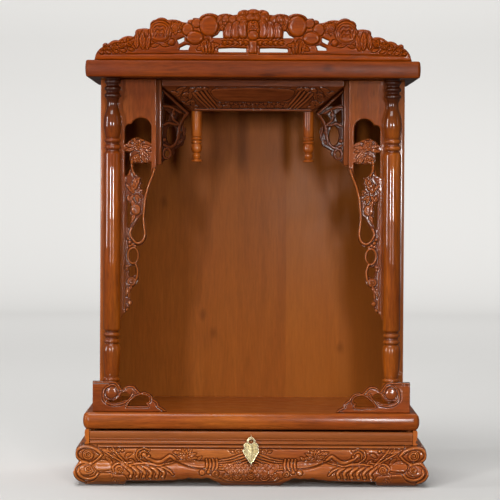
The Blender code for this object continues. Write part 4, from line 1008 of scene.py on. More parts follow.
            def petal_row(r, angle, size=size, turn0=turn0, level=level):
                lobe = np.abs(np.cos(petals * (angle - turn0) / 2))
                edge = size * (0.80 + 0.20 * lobe ** 0.6)
                t = np.clip(r / edge, 0, 1)
                cup = 0.66 + 0.34 * np.sin(math.pi / 2 * t ** 2.2)
                body = cup * np.sqrt(np.clip(1 - t ** 9, 0, 1)) * (0.62 + 0.38 * lobe ** 0.55)
                return level * body, edge

            self.around(a, b, radius, petal_row)
        self.bead(a, b, radius * 0.24, height * 1.02)

    def disc(self, a, b, radius_a, radius_b, height=1.0):
        """A plain disc, round or oval, with a rounded edge."""
        def plate(r, angle):
            edge = radius_b / np.sqrt((radius_b * np.cos(angle)) ** 2 + (radius_a * np.sin(angle)) ** 2)
            t = np.clip(r / edge, 0, 1)
            return height * np.sqrt(np.clip(1 - np.maximum(0, (t - 0.72) / 0.28) ** 2, 0, 1)), edge

        self.around(a, b, radius_a, plate)

    def panel(self, points, height=0.75, edge=2.0, smooth=True):
        """A smooth raised field inside a closed line, rounded down at its edge."""
        points = [tuple(point) for point in points]
        loop = np.array(points, float)
        if smooth:
            loop = smooth_through(points[-2:] + points + points[:2], 5)[10:-10]
        for sign in self.signs:
            near, at = self.near(sign, loop.min(axis=0), loop.max(axis=0), 2.5)
            if not len(near):
                continue
            within = inside(at, [loop])
            away = edge_distance(at, [loop], max(edge, 2.5))
            body = np.sqrt(np.clip(1 - (1 - np.clip(away / edge, 0, 1)) ** 2, 0, 1))
            self.raise_to(near, height * (0.35 + 0.65 * body), np.where(within, -away, away))

    def groove(self, points, width=0.7, depth=0.25, smooth=True):
        """A fine incised line, cut into whatever lies there in the end."""
        chain = smooth_through(points, 5) if smooth and len(points) > 2 else np.array(points, float)
        for sign in self.signs:
            near, at = self.near(sign, chain.min(axis=0), chain.max(axis=0), 3 * width)
            if not len(near):
                continue
            away = np.full(len(near), 1e9)
            for start, end in zip(chain, chain[1:]):
                along = end - start
                share = np.clip((at - start) @ along / max(along @ along, 1e-12), 0, 1)
                away = np.minimum(away, np.linalg.norm(at - start - share[:, None] * along, axis=1))
            cut = 1.15 * depth * np.exp(-((away / (1.3 * width)) ** 2))
            self.incised[near] = np.maximum(self.incised[near], cut)

    def ring_groove(self, a, b, radius, width=0.7, depth=0.25):
        self.groove(ring_line(a, b, radius, radius, 28), width, depth, False)

    def coil(self, a, b, radius, height=0.9, turns=2.0, hand=1, heading=0.0):
        """A snail: a disc with a spiral line cut into it."""
        self.disc(a, b, radius, radius, height)
        share = np.linspace(0, 1, 40)
        turn = math.radians(heading) + hand * 2 * math.pi * turns * share
        reach = radius * (0.82 - 0.74 * share)
        chain = np.column_stack((a + reach * np.cos(turn), b + reach * np.sin(turn)))
        self.groove(chain, 0.62, 0.42, False)

    def rim(self, loop, inset, width, height=1.0):
        """A bead that runs along a sawn edge, inset from it."""
        tangent = np.roll(loop, -1, axis=0) - np.roll(loop, 1, axis=0)
        tangent /= np.linalg.norm(tangent, axis=1)[:, None]
        beside = loop + inset * np.column_stack((-tangent[:, 1], tangent[:, 0]))
        run = np.vstack((beside, beside[:1]))
        self.line(run, np.full(len(run), width), np.full(len(run), height), rounded)

    def finished(self, level=0.50, cut=0.36, softness=1.3):
        """The face: strokes over a ground that is cut down beside them."""
        ground = level - cut * np.exp(-((self.beside / softness) ** 2))
        return np.clip(np.maximum(self.top, ground) - self.incised, 0.0, 1.0)


def rounded(t, u):
    return np.sqrt(np.clip(1 - t * t, 0, 1))


def channelled(t, u):
    """A round section with a channel along its middle."""
    lip = 0.60 + 0.40 * np.sin(math.pi / 2 * np.minimum(1, t / 0.66)) ** 2
    return lip * np.sqrt(np.clip(1 - np.maximum(0, (t - 0.60) / 0.40) ** 2, 0, 1))


print("the carver's strokes:", [stroke for stroke in vars(Carver) if not stroke.startswith("_")])


# %% [markdown]
# Carving, part three: the board
#
# The carved face is bent onto the board, its sawn edges are rounded over with sandpaper, and the
# board gets its sides and a flat back. Three values are stored on every point for the lacquer
# recipe: the height, how far the point stands out from its neighbours, and how much the tools have
# worked around it. The last two come from means over the neighbours, taken a few times in a row,
# which blurs the heights as a soft brush would.

# %% Making the carved board
def around_mean(values, edges):
    """Each point's mean with its neighbours on the mesh."""
    total, count = values.copy(), np.ones(len(values))
    for near, far in ((0, 1), (1, 0)):
        total += np.bincount(edges[:, near], values[edges[:, far]], len(values))
        count += np.bincount(edges[:, near], minlength=len(values))
    return total / count


def blurred(values, edges, times):
    for _ in range(times):
        values = around_mean(values, edges)
    return values


def shade_and_wear_values(height, edges):
    """What the lacquer recipe reads on a carved face: height, edge and worked. The first two darken the
    low ground and the cuts as painted shade and lighten the crests as wear and painted highlight.
    """
    share = np.clip((height - height.min()) / max(height.max() - height.min(), 1e-6), 0, 1)
    around = blurred(share, edges, 4)
    wider = blurred(around, edges, 14)
    shade_and_wear = share - around + 0.28 * (around - wider)
    worked = np.clip(20 * blurred(np.abs(share - wider), edges, 6) - 0.15, 0, 1)
    return share, shade_and_wear, worked


def flat_back(flat, rim_pairs, rank, rims):
    """Triangles over the rim's points alone, for the board's back."""
    rim_points = [Vector(point) for point in flat[rank >= 0]]
    found = delaunay_2d_cdt(rim_points, [(int(rank[i]), int(rank[j])) for i, j in rim_pairs], [], 0, 1e-6)
    source = np.array([inputs[0] for inputs in found[3]])
    faces = np.array(found[2])
    middles = np.array([tuple(point) for point in found[0]])[faces].mean(axis=1)
    return source[faces[inside(middles, rims)]]


CARVED_SHARP = 65.0             # degrees: only the sawn edges at the back stay sharp
BACK_HEIGHT = 0.6               # the back and the sides are coloured like a middling height


def carved_board(node, name, loops, strokes, step, relief, edge, place, back, finish,
                 mirror=False, body="cabinet"):
    """strokes(carver) carves the face. place(a, b, lift) gives points of the cabinet for a, b and
    lift in millimetres, and back(a, b) the same for the board's back. step is the distance between
    points, relief the depth of the carving and edge the radius of the rounded rim."""
    rims = [spaced(loop, step) for loop in loops]
    flat, faces, on_rim = triangulated(rims, even_points(loops, step))
    height = strokes(Carver(flat, mirror))
    away = np.where(on_rim, 0.0, edge_distance(flat, loops, edge))
    over = edge * (1 - np.sqrt(np.clip(1 - (1 - away / edge) ** 2, 0, 1)))
    front = place(flat[:, 0], flat[:, 1], relief * (height - 1) - over)

    pairs = np.concatenate((faces[:, (0, 1)], faces[:, (1, 2)], faces[:, (2, 0)]))
    keys = np.sort(pairs, axis=1)
    _, first, count = np.unique(keys, axis=0, return_index=True, return_counts=True)
    rim_pairs = pairs[first[count == 1]]
    rim_points = np.unique(rim_pairs)
    rank = np.full(len(flat), -1)
    rank[rim_points] = np.arange(len(rim_points))
    back_faces = flat_back(flat, rim_pairs, rank, rims)

    mesh = bpy.data.meshes.new(name)
    everything = np.vstack((front, back(flat[rim_points, 0], flat[rim_points, 1])))
    shift = len(flat)
    walls = [(int(j), int(i), int(rank[i]) + shift, int(rank[j]) + shift) for i, j in rim_pairs]
    mesh.from_pydata(
        everything.tolist(), [], faces.tolist() + walls + (back_faces[:, ::-1] + shift).tolist(),
    )
    build = bmesh.new()
    build.from_mesh(mesh)
    bmesh.ops.recalc_face_normals(build, faces=build.faces)
    build.to_mesh(mesh)
    build.free()
    share, shade_and_wear, worked = shade_and_wear_values(height, np.unique(keys, axis=0))
    for kind, values, plain in (("height", share, BACK_HEIGHT), ("edge", shade_and_wear, 0.0), ("worked", worked, 0.0)):
        stored = mesh.attributes.new(kind, "FLOAT", "POINT")
        values = np.concatenate((values, np.full(len(rim_points), plain)))
        stored.data.foreach_set("value", values.astype(np.float32))
    put_in_place(name, mesh, finish, body, node, CARVED_SHARP)

# %% [markdown]
# The carved apron
#
# The front of the base is one thick board that swells out under the waist and stands on a foot at
# each end. On the real one the whole face is carved: scrolls at the ends, ribs like claws beside
# them, clouds and leaves, and a rosette in the middle. It is modelled as a cut-out with carved
# strokes, and the finished face is bent over the swelling section.

# %% The section of the aprons
APRON_BULGE = 10 * MM
APRON_CURVE = smooth_through((
    (0, -1.5), (0.05, -0.7), (0.14, 0.35), (0.30, 1.0), (0.45, 0.75), (0.575, 0.15), (0.68, 0.55),
    (0.80, 0.65), (0.93, 0.45), (1, -0.15),
), 5)


def apron_swell(share):
    """How far the section stands out, in metres, at a share of the apron's height."""
    return APRON_BULGE * np.interp(share, APRON_CURVE[:, 0], APRON_CURVE[:, 1])


# %% [markdown]
# The apron's pattern
#
# The pattern is drawn for the right half, in millimetres from the middle of the lower edge, and the
# carver mirrors it. From the end to the middle come two snails, a broad foot under leaves, six
# claws below a cloud, a cluster of leaves tied with a ribbon, and the tongue with its rosettes.
# Strokes that are made later lie on top, so each group starts with its broad fields.

# %% The apron's carving
APRON_HALF, APRON_TALL = 306.0, 72.5        # half the width and the height, in millimetres


def apron_outline():
    bottom = [
        (0, 0, 0), (50, 0, -1.5), (66, 11, -1.0), (77, 15.5, 1.5), (92, 14.5, 1.5),
        (107, 15.5, 1.5), (124, 12.5, 1.2), (141, 10.5, 1.0), (178, 9.5, 0.8), (215, 9.5, 0),
        (217, 3, 0.6), (222, 0, 0),
    ]
    end = [
        (APRON_HALF + (apron_swell(share) - APRON_BULGE) / MM, APRON_TALL * share, 0)
        for share in APRON_CURVE[:, 0]
    ]
    return arcs(mirrored(bottom + end + [(0, APRON_TALL, 0)]))


def end_volutes(carver):
    """The two lobes at the apron's end: a snail in a pointed leaf above, a broad curl below."""
    carver.stem([
        (257, 55), (266, 63.5), (280, 68.5), (293, 67.5), (301, 60), (300, 50), (291, 42.5),
    ], 3.3, 0.92, 0.75)
    carver.stem([(257, 55), (265, 46), (277, 39)], 2.4, 0.86, 0.7)
    carver.coil(280.5, 54.5, 9.6, 0.92, 2.1, -1, 160)
    carver.bead(280.5, 54.5, 2.4, 1.0)
    carver.stem([(278, 39), (291, 41.5), (302, 36), (305.5, 26), (300, 14), (288, 7)], 3.6, 0.95, 0.7)
    carver.panel([(277, 37), (289, 38.5), (298, 32), (299, 24), (290, 19), (276, 21), (270, 28)], 0.62, 3.0)
    carver.stem([(263, 24), (268, 16.5), (279, 12.5), (290, 15.5), (297, 24), (296, 31)], 3.2, 1.0, 0.35)
    carver.coil(280, 31, 6.4, 0.86, 1.6, 1, 40)
    carver.bead(276, 39.5, 3.2, 0.9)


def foot_and_fan(carver):
    """Crossing stems and leaves above the foot, and the plain foot with its small flower."""
    carver.panel([
        (217, 1.5), (217, 19), (228, 20.5), (242, 23), (256, 24.5), (263, 19), (270, 10), (284, 5), (286, 1),
    ], 0.66, 2.5)
    carver.panel([(238, 31), (252, 27.5), (266, 29), (270, 38), (263, 45.5), (250, 45), (240, 41)], 0.80, 3.5)
    carver.groove([(236, 26), (250, 23.6), (266, 25.5)], 0.8, 0.3)
    carver.stem([(214, 31), (219, 38.5), (230, 40), (238, 34), (236, 25)], 1.9, 0.85)
    carver.coil(227.5, 30, 7.2, 0.9, 1.8, -1, 20)
    carver.blossom(234, 9, 6.2, 6, 0.92, 1)
    carver.leaf(238, 15, 60, 9, 2.4, 0.85, 20, 2)
    carver.leaf(228, 5, 200, 8, 2.2, 0.8, -20, 2)
    for a, b, heading, length in (
        (250, 50, 215, 17), (243, 60, 165, 15), (236, 66, 120, 9), (228, 60, 95, 10), (216, 52, 140, 13),
        (210, 46, 200, 12), (224, 44, 235, 11),
    ):
        carver.leaf(a, b, heading, length, 3.2, 0.86, 25, 3)
    carver.stem([(256, 63), (246, 57), (232, 48), (219, 41), (206, 42)], 1.9, 1.0, 0.6)
    carver.stem([(240, 70), (234, 60), (225, 50), (213, 37)], 1.8, 0.98, 0.6)
    carver.leaf(254, 64, 196, 15, 3.0, 1.0, 12)
    carver.bead(221.5, 62.5, 2.8)
    carver.bead(247, 66, 2.2, 0.95)
    carver.bead(208, 36, 3.0, 0.95)


def claws_and_cloud(carver):
    """Six claws side by side under a wavy ridge, and a curled cloud that swoops above it."""
    carver.stem([(134, 21), (140, 28), (152, 34), (168, 38), (190, 40), (212, 37)], 2.2, 0.9, 0.6)
    for i in range(6):
        a = 149.0 + 11.2 * i
        carver.stem([(a + 12, 33 + i * 0.4), (a + 5, 30), (a + 0.5, 24.5), (a + 1.5, 18)], 3.3, 0.96, 0.62)
        carver.bead(a + 2.2, 17.2, 3.5, 1.0)
    carver.stem([(127, 44.5), (139, 41), (150, 38.5), (159, 36)], 1.5, 0.8, 0.6)
    carver.stem([
        (131, 47), (139, 53), (147, 48), (154, 43.5), (164, 42.5), (175, 47), (183, 53),
    ], 3.4, 1.0, 0.75)
    carver.stem([(150, 38.5), (160, 36.8), (172, 40), (186, 42), (196, 50)], 1.5, 0.92, 0.7)
    carver.stem([(175, 63), (184, 66.5), (194, 62.5), (197.5, 54), (193, 45)], 1.7, 0.95, 0.7)
    carver.stem([(178, 58), (185, 61.5), (191, 57), (190, 50)], 1.6, 0.9, 0.7)
    carver.bead(184.5, 55, 4.6)
    carver.bead(176, 53, 2.6, 0.9)


def leaves_and_ribbon(carver):
    """A cluster of leaves, the ribbon that hangs under it and the knot that ties it."""
    carver.panel([
        (78, 34), (90, 33), (110, 37), (126, 43), (122, 47), (108, 48), (92, 45), (79, 43),
    ], 0.70, 2.5)
    carver.groove([(80, 38), (94, 38.5), (112, 42)], 0.8, 0.16)
    carver.groove([(68, 32.5), (90, 31.2), (110, 35.2), (131, 43), (141, 40.5), (152, 36)], 1.0, 0.34)
    for heading, length in (
        (175, 22), (150, 20), (120, 17), (90, 15), (62, 17), (35, 18), (8, 16), (205, 15),
    ):
        carver.leaf(112, 50, heading, length, 4.0, 0.90, 14, 3)
    carver.blossom(112, 53, 5.5, 5, 1.0, 2)
    carver.leaf(133, 60, 190, 12, 3.0, 0.9, 25, 2)
    carver.leaf(92, 46, 130, 10, 2.8, 0.85, 20, 2)
    for a in (58.5, 64.5, 70.5, 76.0):
        carver.stem([(a + 1.5, 30), (a - 0.6, 38), (a + 0.8, 47)], 2.5, 0.96, 0.75)
    carver.coil(61, 23.5, 6.0, 0.95, 1.4, 1, 90)
    carver.disc(84, 25.5, 4.8, 4.8, 0.92)
    carver.bead(73, 26, 3.6, 0.9)


def medallion(carver):
    """The tongue in the middle: rows of scales, three ringed rosettes and a drape above them."""
    for i in range(5):
        drop = 5.4 * i
        carver.stem([
            (4, 61 - drop), (20, 54.5 - drop), (38, 48 - 0.8 * drop), (55, 45 - 0.62 * drop),
        ], 1.9, 0.74, 0.9)
    for row, (b, first) in enumerate(((35.5, 0), (31.0, 4.4), (26.5, 0))):
        for i in range(6 - row // 2):
            a = first + 8.8 * i
            if a > 47 - 2 * row:
                continue
            carver.disc(a, b, 4.9, 4.9, 0.78)
            carver.ring_groove(a, b, 3.1, 0.55, 0.22)
            carver.bead(a, b, 1.3, 0.9)
    for a, b, radius in ((0, 18.5, 7.4), (23.5, 18.5, 7.2), (42.5, 19.0, 5.4)):
        carver.blossom(a, b, radius, 8, 0.92, 2)
        half, under = radius * 0.5, b - radius * 0.95
        carver.stem([
            (a - radius, b - 3), (a - half, under), (a + half, under), (a + radius, b - 3),
        ], 1.2, 0.85, 0.9)
    carver.groove([(0, 7), (22, 7.2), (44, 9.5), (54, 15)], 0.9, 0.3)
    carver.blossom(23.3, 62, 5.2, 5, 0.95, 1)
    carver.leaf(29, 60, 20, 8, 2.2, 0.85)
    carver.leaf(18, 64, 150, 8, 2.2, 0.85)


def apron_strokes(carver):
    medallion(carver)
    leaves_and_ribbon(carver)
    claws_and_cloud(carver)
    foot_and_fan(carver)
    end_volutes(carver)
    carver.stem([(0, 70.2), (120, 70.2), (262, 70.2)], 2.9, 0.72, 0.97)
    carver.groove([(0, 66.4), (120, 66.4), (250, 66.4)], 0.8, 0.30, False)
    return carver.finished()


# %% Carving the front apron
low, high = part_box("front_apron")
apron_front, apron_back_plane = low.y, high.y


def apron_face(a, b, lift):
    swell = apron_swell(b / APRON_TALL)
    return np.column_stack((a * MM, apron_front + APRON_BULGE - swell - lift * MM, b * MM))


def apron_behind(a, b):
    return np.column_stack((a * MM, np.full(len(a), apron_back_plane), b * MM))


carved_board(
    "front_apron", "carved_front_apron", [apron_outline()], apron_strokes, 0.85, 6.0, 3.0, apron_face,
    apron_behind, apron_finish, mirror=True,
)

# %% [markdown]
# The side and back aprons
#
# At the sides the same swelling section runs back, left plain, and is lifted off the floor between
# its feet so that the cabinet stands on its corners. The section is carried along the side through
# a row of stations, and where the apron is lifted, the section is squeezed up from below.

# %% Side aprons
FOOT = 55 * MM
LIFT = 9.5 * MM
FOOT_CURVE = 9 * MM


def lift_at(y, start, end):
    """Height of the apron's lower edge above the floor at a place along the side."""
    from_foot = min(y - start, end - y) - FOOT
    if from_foot <= 0:
        return 0.0
    share = min(1.0, from_foot / FOOT_CURVE)
    return LIFT * math.sqrt(1 - (1 - share) ** 2)


for side, node in ((-1, "left_apron"), (1, "right_apron")):
    low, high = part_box(node)
    outer, inner = (high.x, low.x) if side > 0 else (low.x, high.x)
    tall = high.z
    stations = [low.y, low.y + FOOT]
    for i in range(1, 9):
        stations.append(low.y + FOOT + FOOT_CURVE * (1 - math.cos(math.pi / 2 * i / 8)))
    stations += [low.y + high.y - y for y in reversed(stations)]
    build = bmesh.new()
    rows = []
    for y in stations:
        base = lift_at(y, low.y, high.y)
        row = [
            (outer - side * (APRON_BULGE - float(apron_swell((base + (tall - base) * share) / tall))), y,
            base + (tall - base) * share)
            for share in APRON_CURVE[:, 0]
        ]
        row += [(inner, y, tall), (inner, y, base)]
        rows.append([build.verts.new(point) for point in row])
    skinned(build, rows)
    piece_from(node + "_run", build, board_finish, "cabinet", node)

# %% The back apron
low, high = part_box("back_apron")
foot_slope = 5 * MM
outline = [
    (low.x, 0), (low.x + FOOT, 0), (low.x + FOOT + foot_slope, LIFT), (high.x - FOOT - foot_slope, LIFT),
    (high.x - FOOT, 0), (high.x, 0), (high.x, high.z), (low.x, high.z),
]
extruded(
    "back_apron_board", [(x, 0, z) for x, z in outline], (0, low.y, 0), (0, high.y, 0), board_finish,
    "cabinet", "back_apron",
)

# %% [markdown]
# The crest
#
# The crest stands on the top board: a peony in the middle, leaves and lotus pods beside it, a
# round medallion at each shoulder and lobed leaves that fall away to the ends, pierced between.

# %% The crest's pattern
CREST_TALL = 89.0               # millimetres in the pattern, from the rail to the peony's tip


def crest_outline():
    half = [
        (274, 0, 0), (272.5, 5, 2.5), (260, 22.5, 0), (259.5, 26.5, 2.2), (251, 28, 0), (248.5, 29, 2.4),
        (232.5, 34, 0), (229, 36.5, 3.0), (206.5, 40.5, 0), (203.5, 45, 2.2), (198.5, 53.5, 1.2),
        (179.2, 54, 0), (178, 58, 3.5), (168, 70, 4.0), (147.5, 69.5, 0), (145, 70, 2.0), (122, 66, 0),
        (114, 65, 0), (112.5, 69, 0.5), (104.5, 70.5, 0), (104, 72.8, 0.6), (93.5, 72.6, 0), (90.5, 76.5, 4.5),
        (61, 77.5, 0), (58, 79, 2.2), (35.5, 78.5, 0), (27.5, 79.3, 0.5), (25.5, 84, 2.2), (10, 86.6, 0),
        (8, 87.2, 0.6), (0, CREST_TALL, 0),
    ]
    outline = arcs(mirrored(half))
    right_holes = [
        arcs([(52, 39, 0), (71, 39, 0.5), (62, 44, 0), (57, 51, 0), (53, 51, 0)]),
        arcs([(12, 14.5, 0), (59, 14.5, 1), (59, 20.5, 1), (12, 21, 0)]),
        arcs([(119, 33, 0), (128, 28, 0), (131, 35, 0), (119, 40, 0)]),
        arcs([(112, 18, 0), (127, 18, 0), (126, 22, 0), (115, 27, 0), (109, 26, 0)]),
    ]
    holes = [loop * (side, 1) for loop in right_holes for side in (1, -1)]
    return [outline] + holes


def petal(carver, a, b, width, tall, height, lean=0.0):
    """A broad cupped petal of the peony, with a second line inside its lip."""
    turns = np.radians(np.linspace(0, 360, 22)[:-1])
    reach_a = width * np.cos(turns) * (1 - 0.12 * np.sin(turns))
    reach_b = tall * np.sin(turns)
    carver.panel(np.column_stack((a + reach_a + lean * reach_b, b + reach_b)), height, width * 0.9)
    lip = np.radians(np.linspace(20, 160, 9))
    lip_a, lip_b = 0.70 * width * np.cos(lip), tall * (0.76 * np.sin(lip))
    carver.groove(np.column_stack((a + lip_a + lean * lip_b, b + lip_b)), 0.62, 0.16)


def crest_middle(carver):
    """The peony: upright cupped petals, row before row, round a heart of small seeds."""
    for a, b, width, tall, lean in (
        (56, 69, 7, 8, 0.1), (46, 71, 7, 7, 0.0), (35, 70, 7, 8, 0.0), (21, 79, 8.5, 9, 0.0),
        (0, 82, 9, 9, 0.0),
    ):
        petal(carver, a, b, width, tall, 0.78, lean)
    for heading, length in ((150, 13), (195, 12), (235, 11), (100, 10)):
        carver.leaf(57, 60, heading, length, 3.4, 0.86, 15, 2)
    for a, b, width, tall, height, lean in (
        (42, 51, 7.8, 14.5, 0.84, -0.10), (19, 71, 9.5, 8.5, 0.84, 0.0), (4.5, 74, 7.5, 7, 0.84, 0.0),
        (29.5, 52, 8.4, 16, 0.90, -0.06), (17, 54, 8.6, 17, 0.96, 0.0),
    ):
        petal(carver, a, b, width, tall, height, lean)
    carver.panel([(-9, 43), (-10, 60), (-5, 68), (5, 68), (10, 60), (9, 43)], 0.90, 5.0)
    for a, b in ((0, 57.5), (4.2, 62.4), (7.4, 57), (8.0, 50.6), (3.8, 52.6), (0, 66)):
        carver.bead(a, b, 1.9, 1.0)
    petal(carver, 0, 43.5, 9.4, 8.2, 1.0)
    carver.groove([(9, 38.5), (30, 38.2), (54, 38.6)], 0.9, 0.30, False)
    for a in (8, 17, 26, 35, 44):
        carver.leaf(a + 8, 28.5, 160, 10, 3.8, 0.94, 30, 2)
        carver.leaf(a + 2, 29.5, 40, 8, 3.0, 0.86, -30, 2)
    carver.panel([(-6.5, 12.5), (-6.5, 34), (6.5, 34), (6.5, 12.5)], 0.74, 2.2, False)


def crest_shoulder(carver):
    """Plain pods, the bud and the round medallion of the shoulder."""
    carver.leaf(96, 18, 150, 22, 5.0, 0.80, 25)
    carver.leaf(74, 27, 190, 16, 4.6, 0.84, -20)
    carver.leaf(88, 26, 120, 14, 4.0, 0.8, 20)
    carver.disc(113, 53, 10, 11, 0.74)
    carver.disc(97, 64, 9, 8, 0.78)
    carver.disc(100.5, 38.5, 14.5, 11.8, 0.92)
    carver.groove([(90, 33), (96, 29.5), (106, 29), (112, 33)], 0.8, 0.14)
    for a, b, heading, length in (
        (70, 12.5, 96, 21), (75, 12.5, 90, 23), (80, 12.5, 84, 22), (85, 13, 76, 19),
    ):
        carver.leaf(a, b, heading, length, 2.6, 0.86, -8, 2)
    carver.disc(76, 59.5, 16.4, 18.6, 0.98)

    for heading in (20, 60, 100, 140, 180, 220, 265, 310):
        carver.leaf(134, 56, heading, 12.5, 4.4, 0.84, 10, 2)
    carver.disc(134, 57, 7.4, 7.4, 0.95)
    carver.ring_groove(134, 57, 4.8, 0.6, 0.2)
    carver.bead(140.5, 31, 6.2, 0.86)
    carver.leaf(146, 25, 10, 18, 3.6, 0.8, 10)
    carver.leaf(176, 24, 172, 15, 3.4, 0.78, -10)
    carver.disc(160.5, 48.6, 20.0, 20.4, 0.92)
    carver.ring_groove(160.5, 47.6, 16.9, 0.8, 0.34)
    carver.groove([(150.5, 55), (155, 58.5), (160.5, 57.0), (166, 58.5), (170.5, 55)], 0.8, 0.30)
    carver.groove([(152, 46), (155.5, 52.5), (160.5, 50), (165.5, 52.5), (169, 46)], 0.8, 0.30)
    carver.groove([(153, 40), (156, 45.5), (160.5, 42.5), (165, 45.5), (168, 40)], 0.8, 0.30)
    carver.groove([(160.5, 50), (160.5, 43)], 0.7, 0.24)
    for side in (-1, 1):
        carver.groove([
            (160.5 + side * 13.5, 54), (160.5 + side * 11, 46), (160.5 + side * 12.5, 39),
        ], 0.7, 0.24)
    carver.groove([(152, 34.5), (160.5, 32.5), (169, 34.5)], 0.7, 0.24)


def crest_ends(carver):
    """The upright leaf block and the lobed leaves that run out to the ends."""
    carver.leaf(183, 19, 96, 27, 5.4, 0.86, 10, 2)
    carver.leaf(201, 21, 88, 28, 5.6, 0.88, 12, 2)
    carver.leaf(190, 20, 86, 31, 6.6, 1.0, 6, 3)
    for a, b, radius, heading in (
        (212, 31, 9.4, 120), (226, 27, 8.6, 150), (239, 22.5, 7.4, 150), (253, 20.5, 6.0, 150),
    ):
        for turn in (-62, 0, 62):
            carver.leaf(a, b - radius * 0.4, heading - 60 + turn, radius * 1.25, 3.7, 0.86, 12, 2)
        carver.coil(a + 1.0, b - radius * 0.30, radius * 0.52, 0.98, 1.2, 1, 60)
    for a, b, heading, length in (
        (205, 17, 10, 13), (219, 15, 10, 12), (232, 13.5, 10, 11), (245, 12.5, 10, 10), (258, 11.5, 20, 10),
    ):
        carver.leaf(a, b, heading, length, 3.2, 0.84, 25, 2)


def crest_strokes(carver):
    crest_shoulder(carver)
    crest_middle(carver)
    crest_ends(carver)
    carver.groove([(10, 10.6), (120, 11.2), (262, 9.6)], 0.9, 0.30, False)
    return carver.finished(0.52, 0.36, 0.9)


def flat_place(face_y, unit_a, unit_b, start_a, start_b, side, down):
    """Points of a flat board: a runs from start_a towards the side, b up or down from start_b."""
    turn = -1 if down else 1

    def place(a, b, lift):
        return np.column_stack((start_a + side * a * unit_a, face_y - lift * MM, start_b + turn * b * unit_b))
    return place


def both_faces(low, high, unit_a, unit_b, start_a, start_b, side=1, down=False):
    """Where the face and the back of a flat board lie."""
    face = flat_place(low.y, unit_a, unit_b, start_a, start_b, side, down)
    rear = flat_place(high.y, unit_a, unit_b, start_a, start_b, side, down)
    return face, lambda a, b: rear(a, b, np.zeros(len(a)))


# %% Carving the crest
low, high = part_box("crest")
unit = (high.z - low.z) / CREST_TALL
face, rear = both_faces(low, high, MM, unit, 0.0, low.z)
carved_board(
    "crest", "carved_crest_board", crest_outline(), crest_strokes, 0.8, 5.0, 3.6, face, rear,
    crest_finish, mirror=True,
)

# %% [markdown]
# The face boards
#
# Behind each column stands a pierced board, sawn and carved into hanging blossoms, buds and a long
# curved stem. The two are a pair: the same pattern, turned over for the right side.

# %% The face boards' pattern
FACE_TALL = 432.0               # millimetres in the pattern, from the top down
FACE_RIB = [
    (79, 158), (75.5, 170), (70, 183), (65.5, 198), (62.3, 212), (61.4, 225), (60, 244), (61.4, 259),
    (62.6, 271), (59, 283), (49.5, 287.6), (40.6, 280), (36.6, 270.5), (39.6, 261.5),
]


def face_board_outline():
    outline = arcs([
        (0, 0, 0), (0, FACE_TALL, 0), (14, FACE_TALL, 1), (25, 412, 1), (33, 405, 1), (36, 398, 2.4),
        (41, 390, -1.5),
        (37, 383, -1.5), (40, 368, -0.5), (46, 362, 2.0), (52, 345, 1.6), (49, 325, 0), (48, 322.5, 5.2),
        (48, 296.5, 0), (49, 291.2, 3.0), (61, 286, 2.2), (65.3, 271, 0.4), (63.9, 258, -0.4),
        (62.5, 244, -0.4),
        (64, 225, -0.5), (68, 199, -0.6), (74, 178, 0.6), (80, 163, 0.6), (82, 150, 0), (82, 0, 0),
    ], down=True)
    arch = arcs([
        (26.7, 115, 0), (33, 110, -1.2), (46.6, 102.5, -1.4), (64, 109, -1), (73, 113, 0), (73, 87, 14.5),
        (38.5, 78, -0.5), (36.5, 79, 3), (26.7, 88, 0),
    ], down=True)
    left_gap = arcs([
        (26.7, 127, 0), (26.7, 171, 0), (31, 168.5, 0.8), (34.5, 160, 0.5), (37.4, 154, 0), (36.5, 146, -1),
        (36, 129, 0),
    ], down=True)
    right_gap = arcs([
        (43, 147, 0), (41.8, 158, 1.0), (46, 165, 2.2), (56.5, 171, 2.4), (57.5, 183, 1.5), (53.5, 191, -1.2),
        (60, 198, 1.6), (61.3, 205, 0), (63, 192, 0), (68, 178, 0), (73, 168, 0), (73, 145, -2),
    ], down=True)
    low_gap = arcs([
        (54, 241, 0), (49, 250, -0.5), (45, 256, 0.6), (42.5, 263, 0.5), (39.2, 270, 0.8), (42, 279, 1.5),
        (49.5, 284.2, 1.8), (57, 281, 1.2), (59.8, 271, 0.3), (58.8, 259, 0), (57.4, 245, 0), (58.0, 239, 0),
    ], down=True)
    inner_gap = arcs([
        (31.5, 212, 0), (31.5, 257, 0), (35, 262, 0), (38, 250, 0.5), (36.5, 236, -1), (38, 222, 0),
    ], down=True)
    tail_gap = arcs([(35, 329, 0), (34.5, 343, 1), (40, 347, 0), (46.5, 343, 0.8), (45, 327.5, 0)], down=True)
    return [outline, arch, left_gap, right_gap, low_gap, inner_gap, oval(42.2, 309.5, 6.9, 11.3), tail_gap]


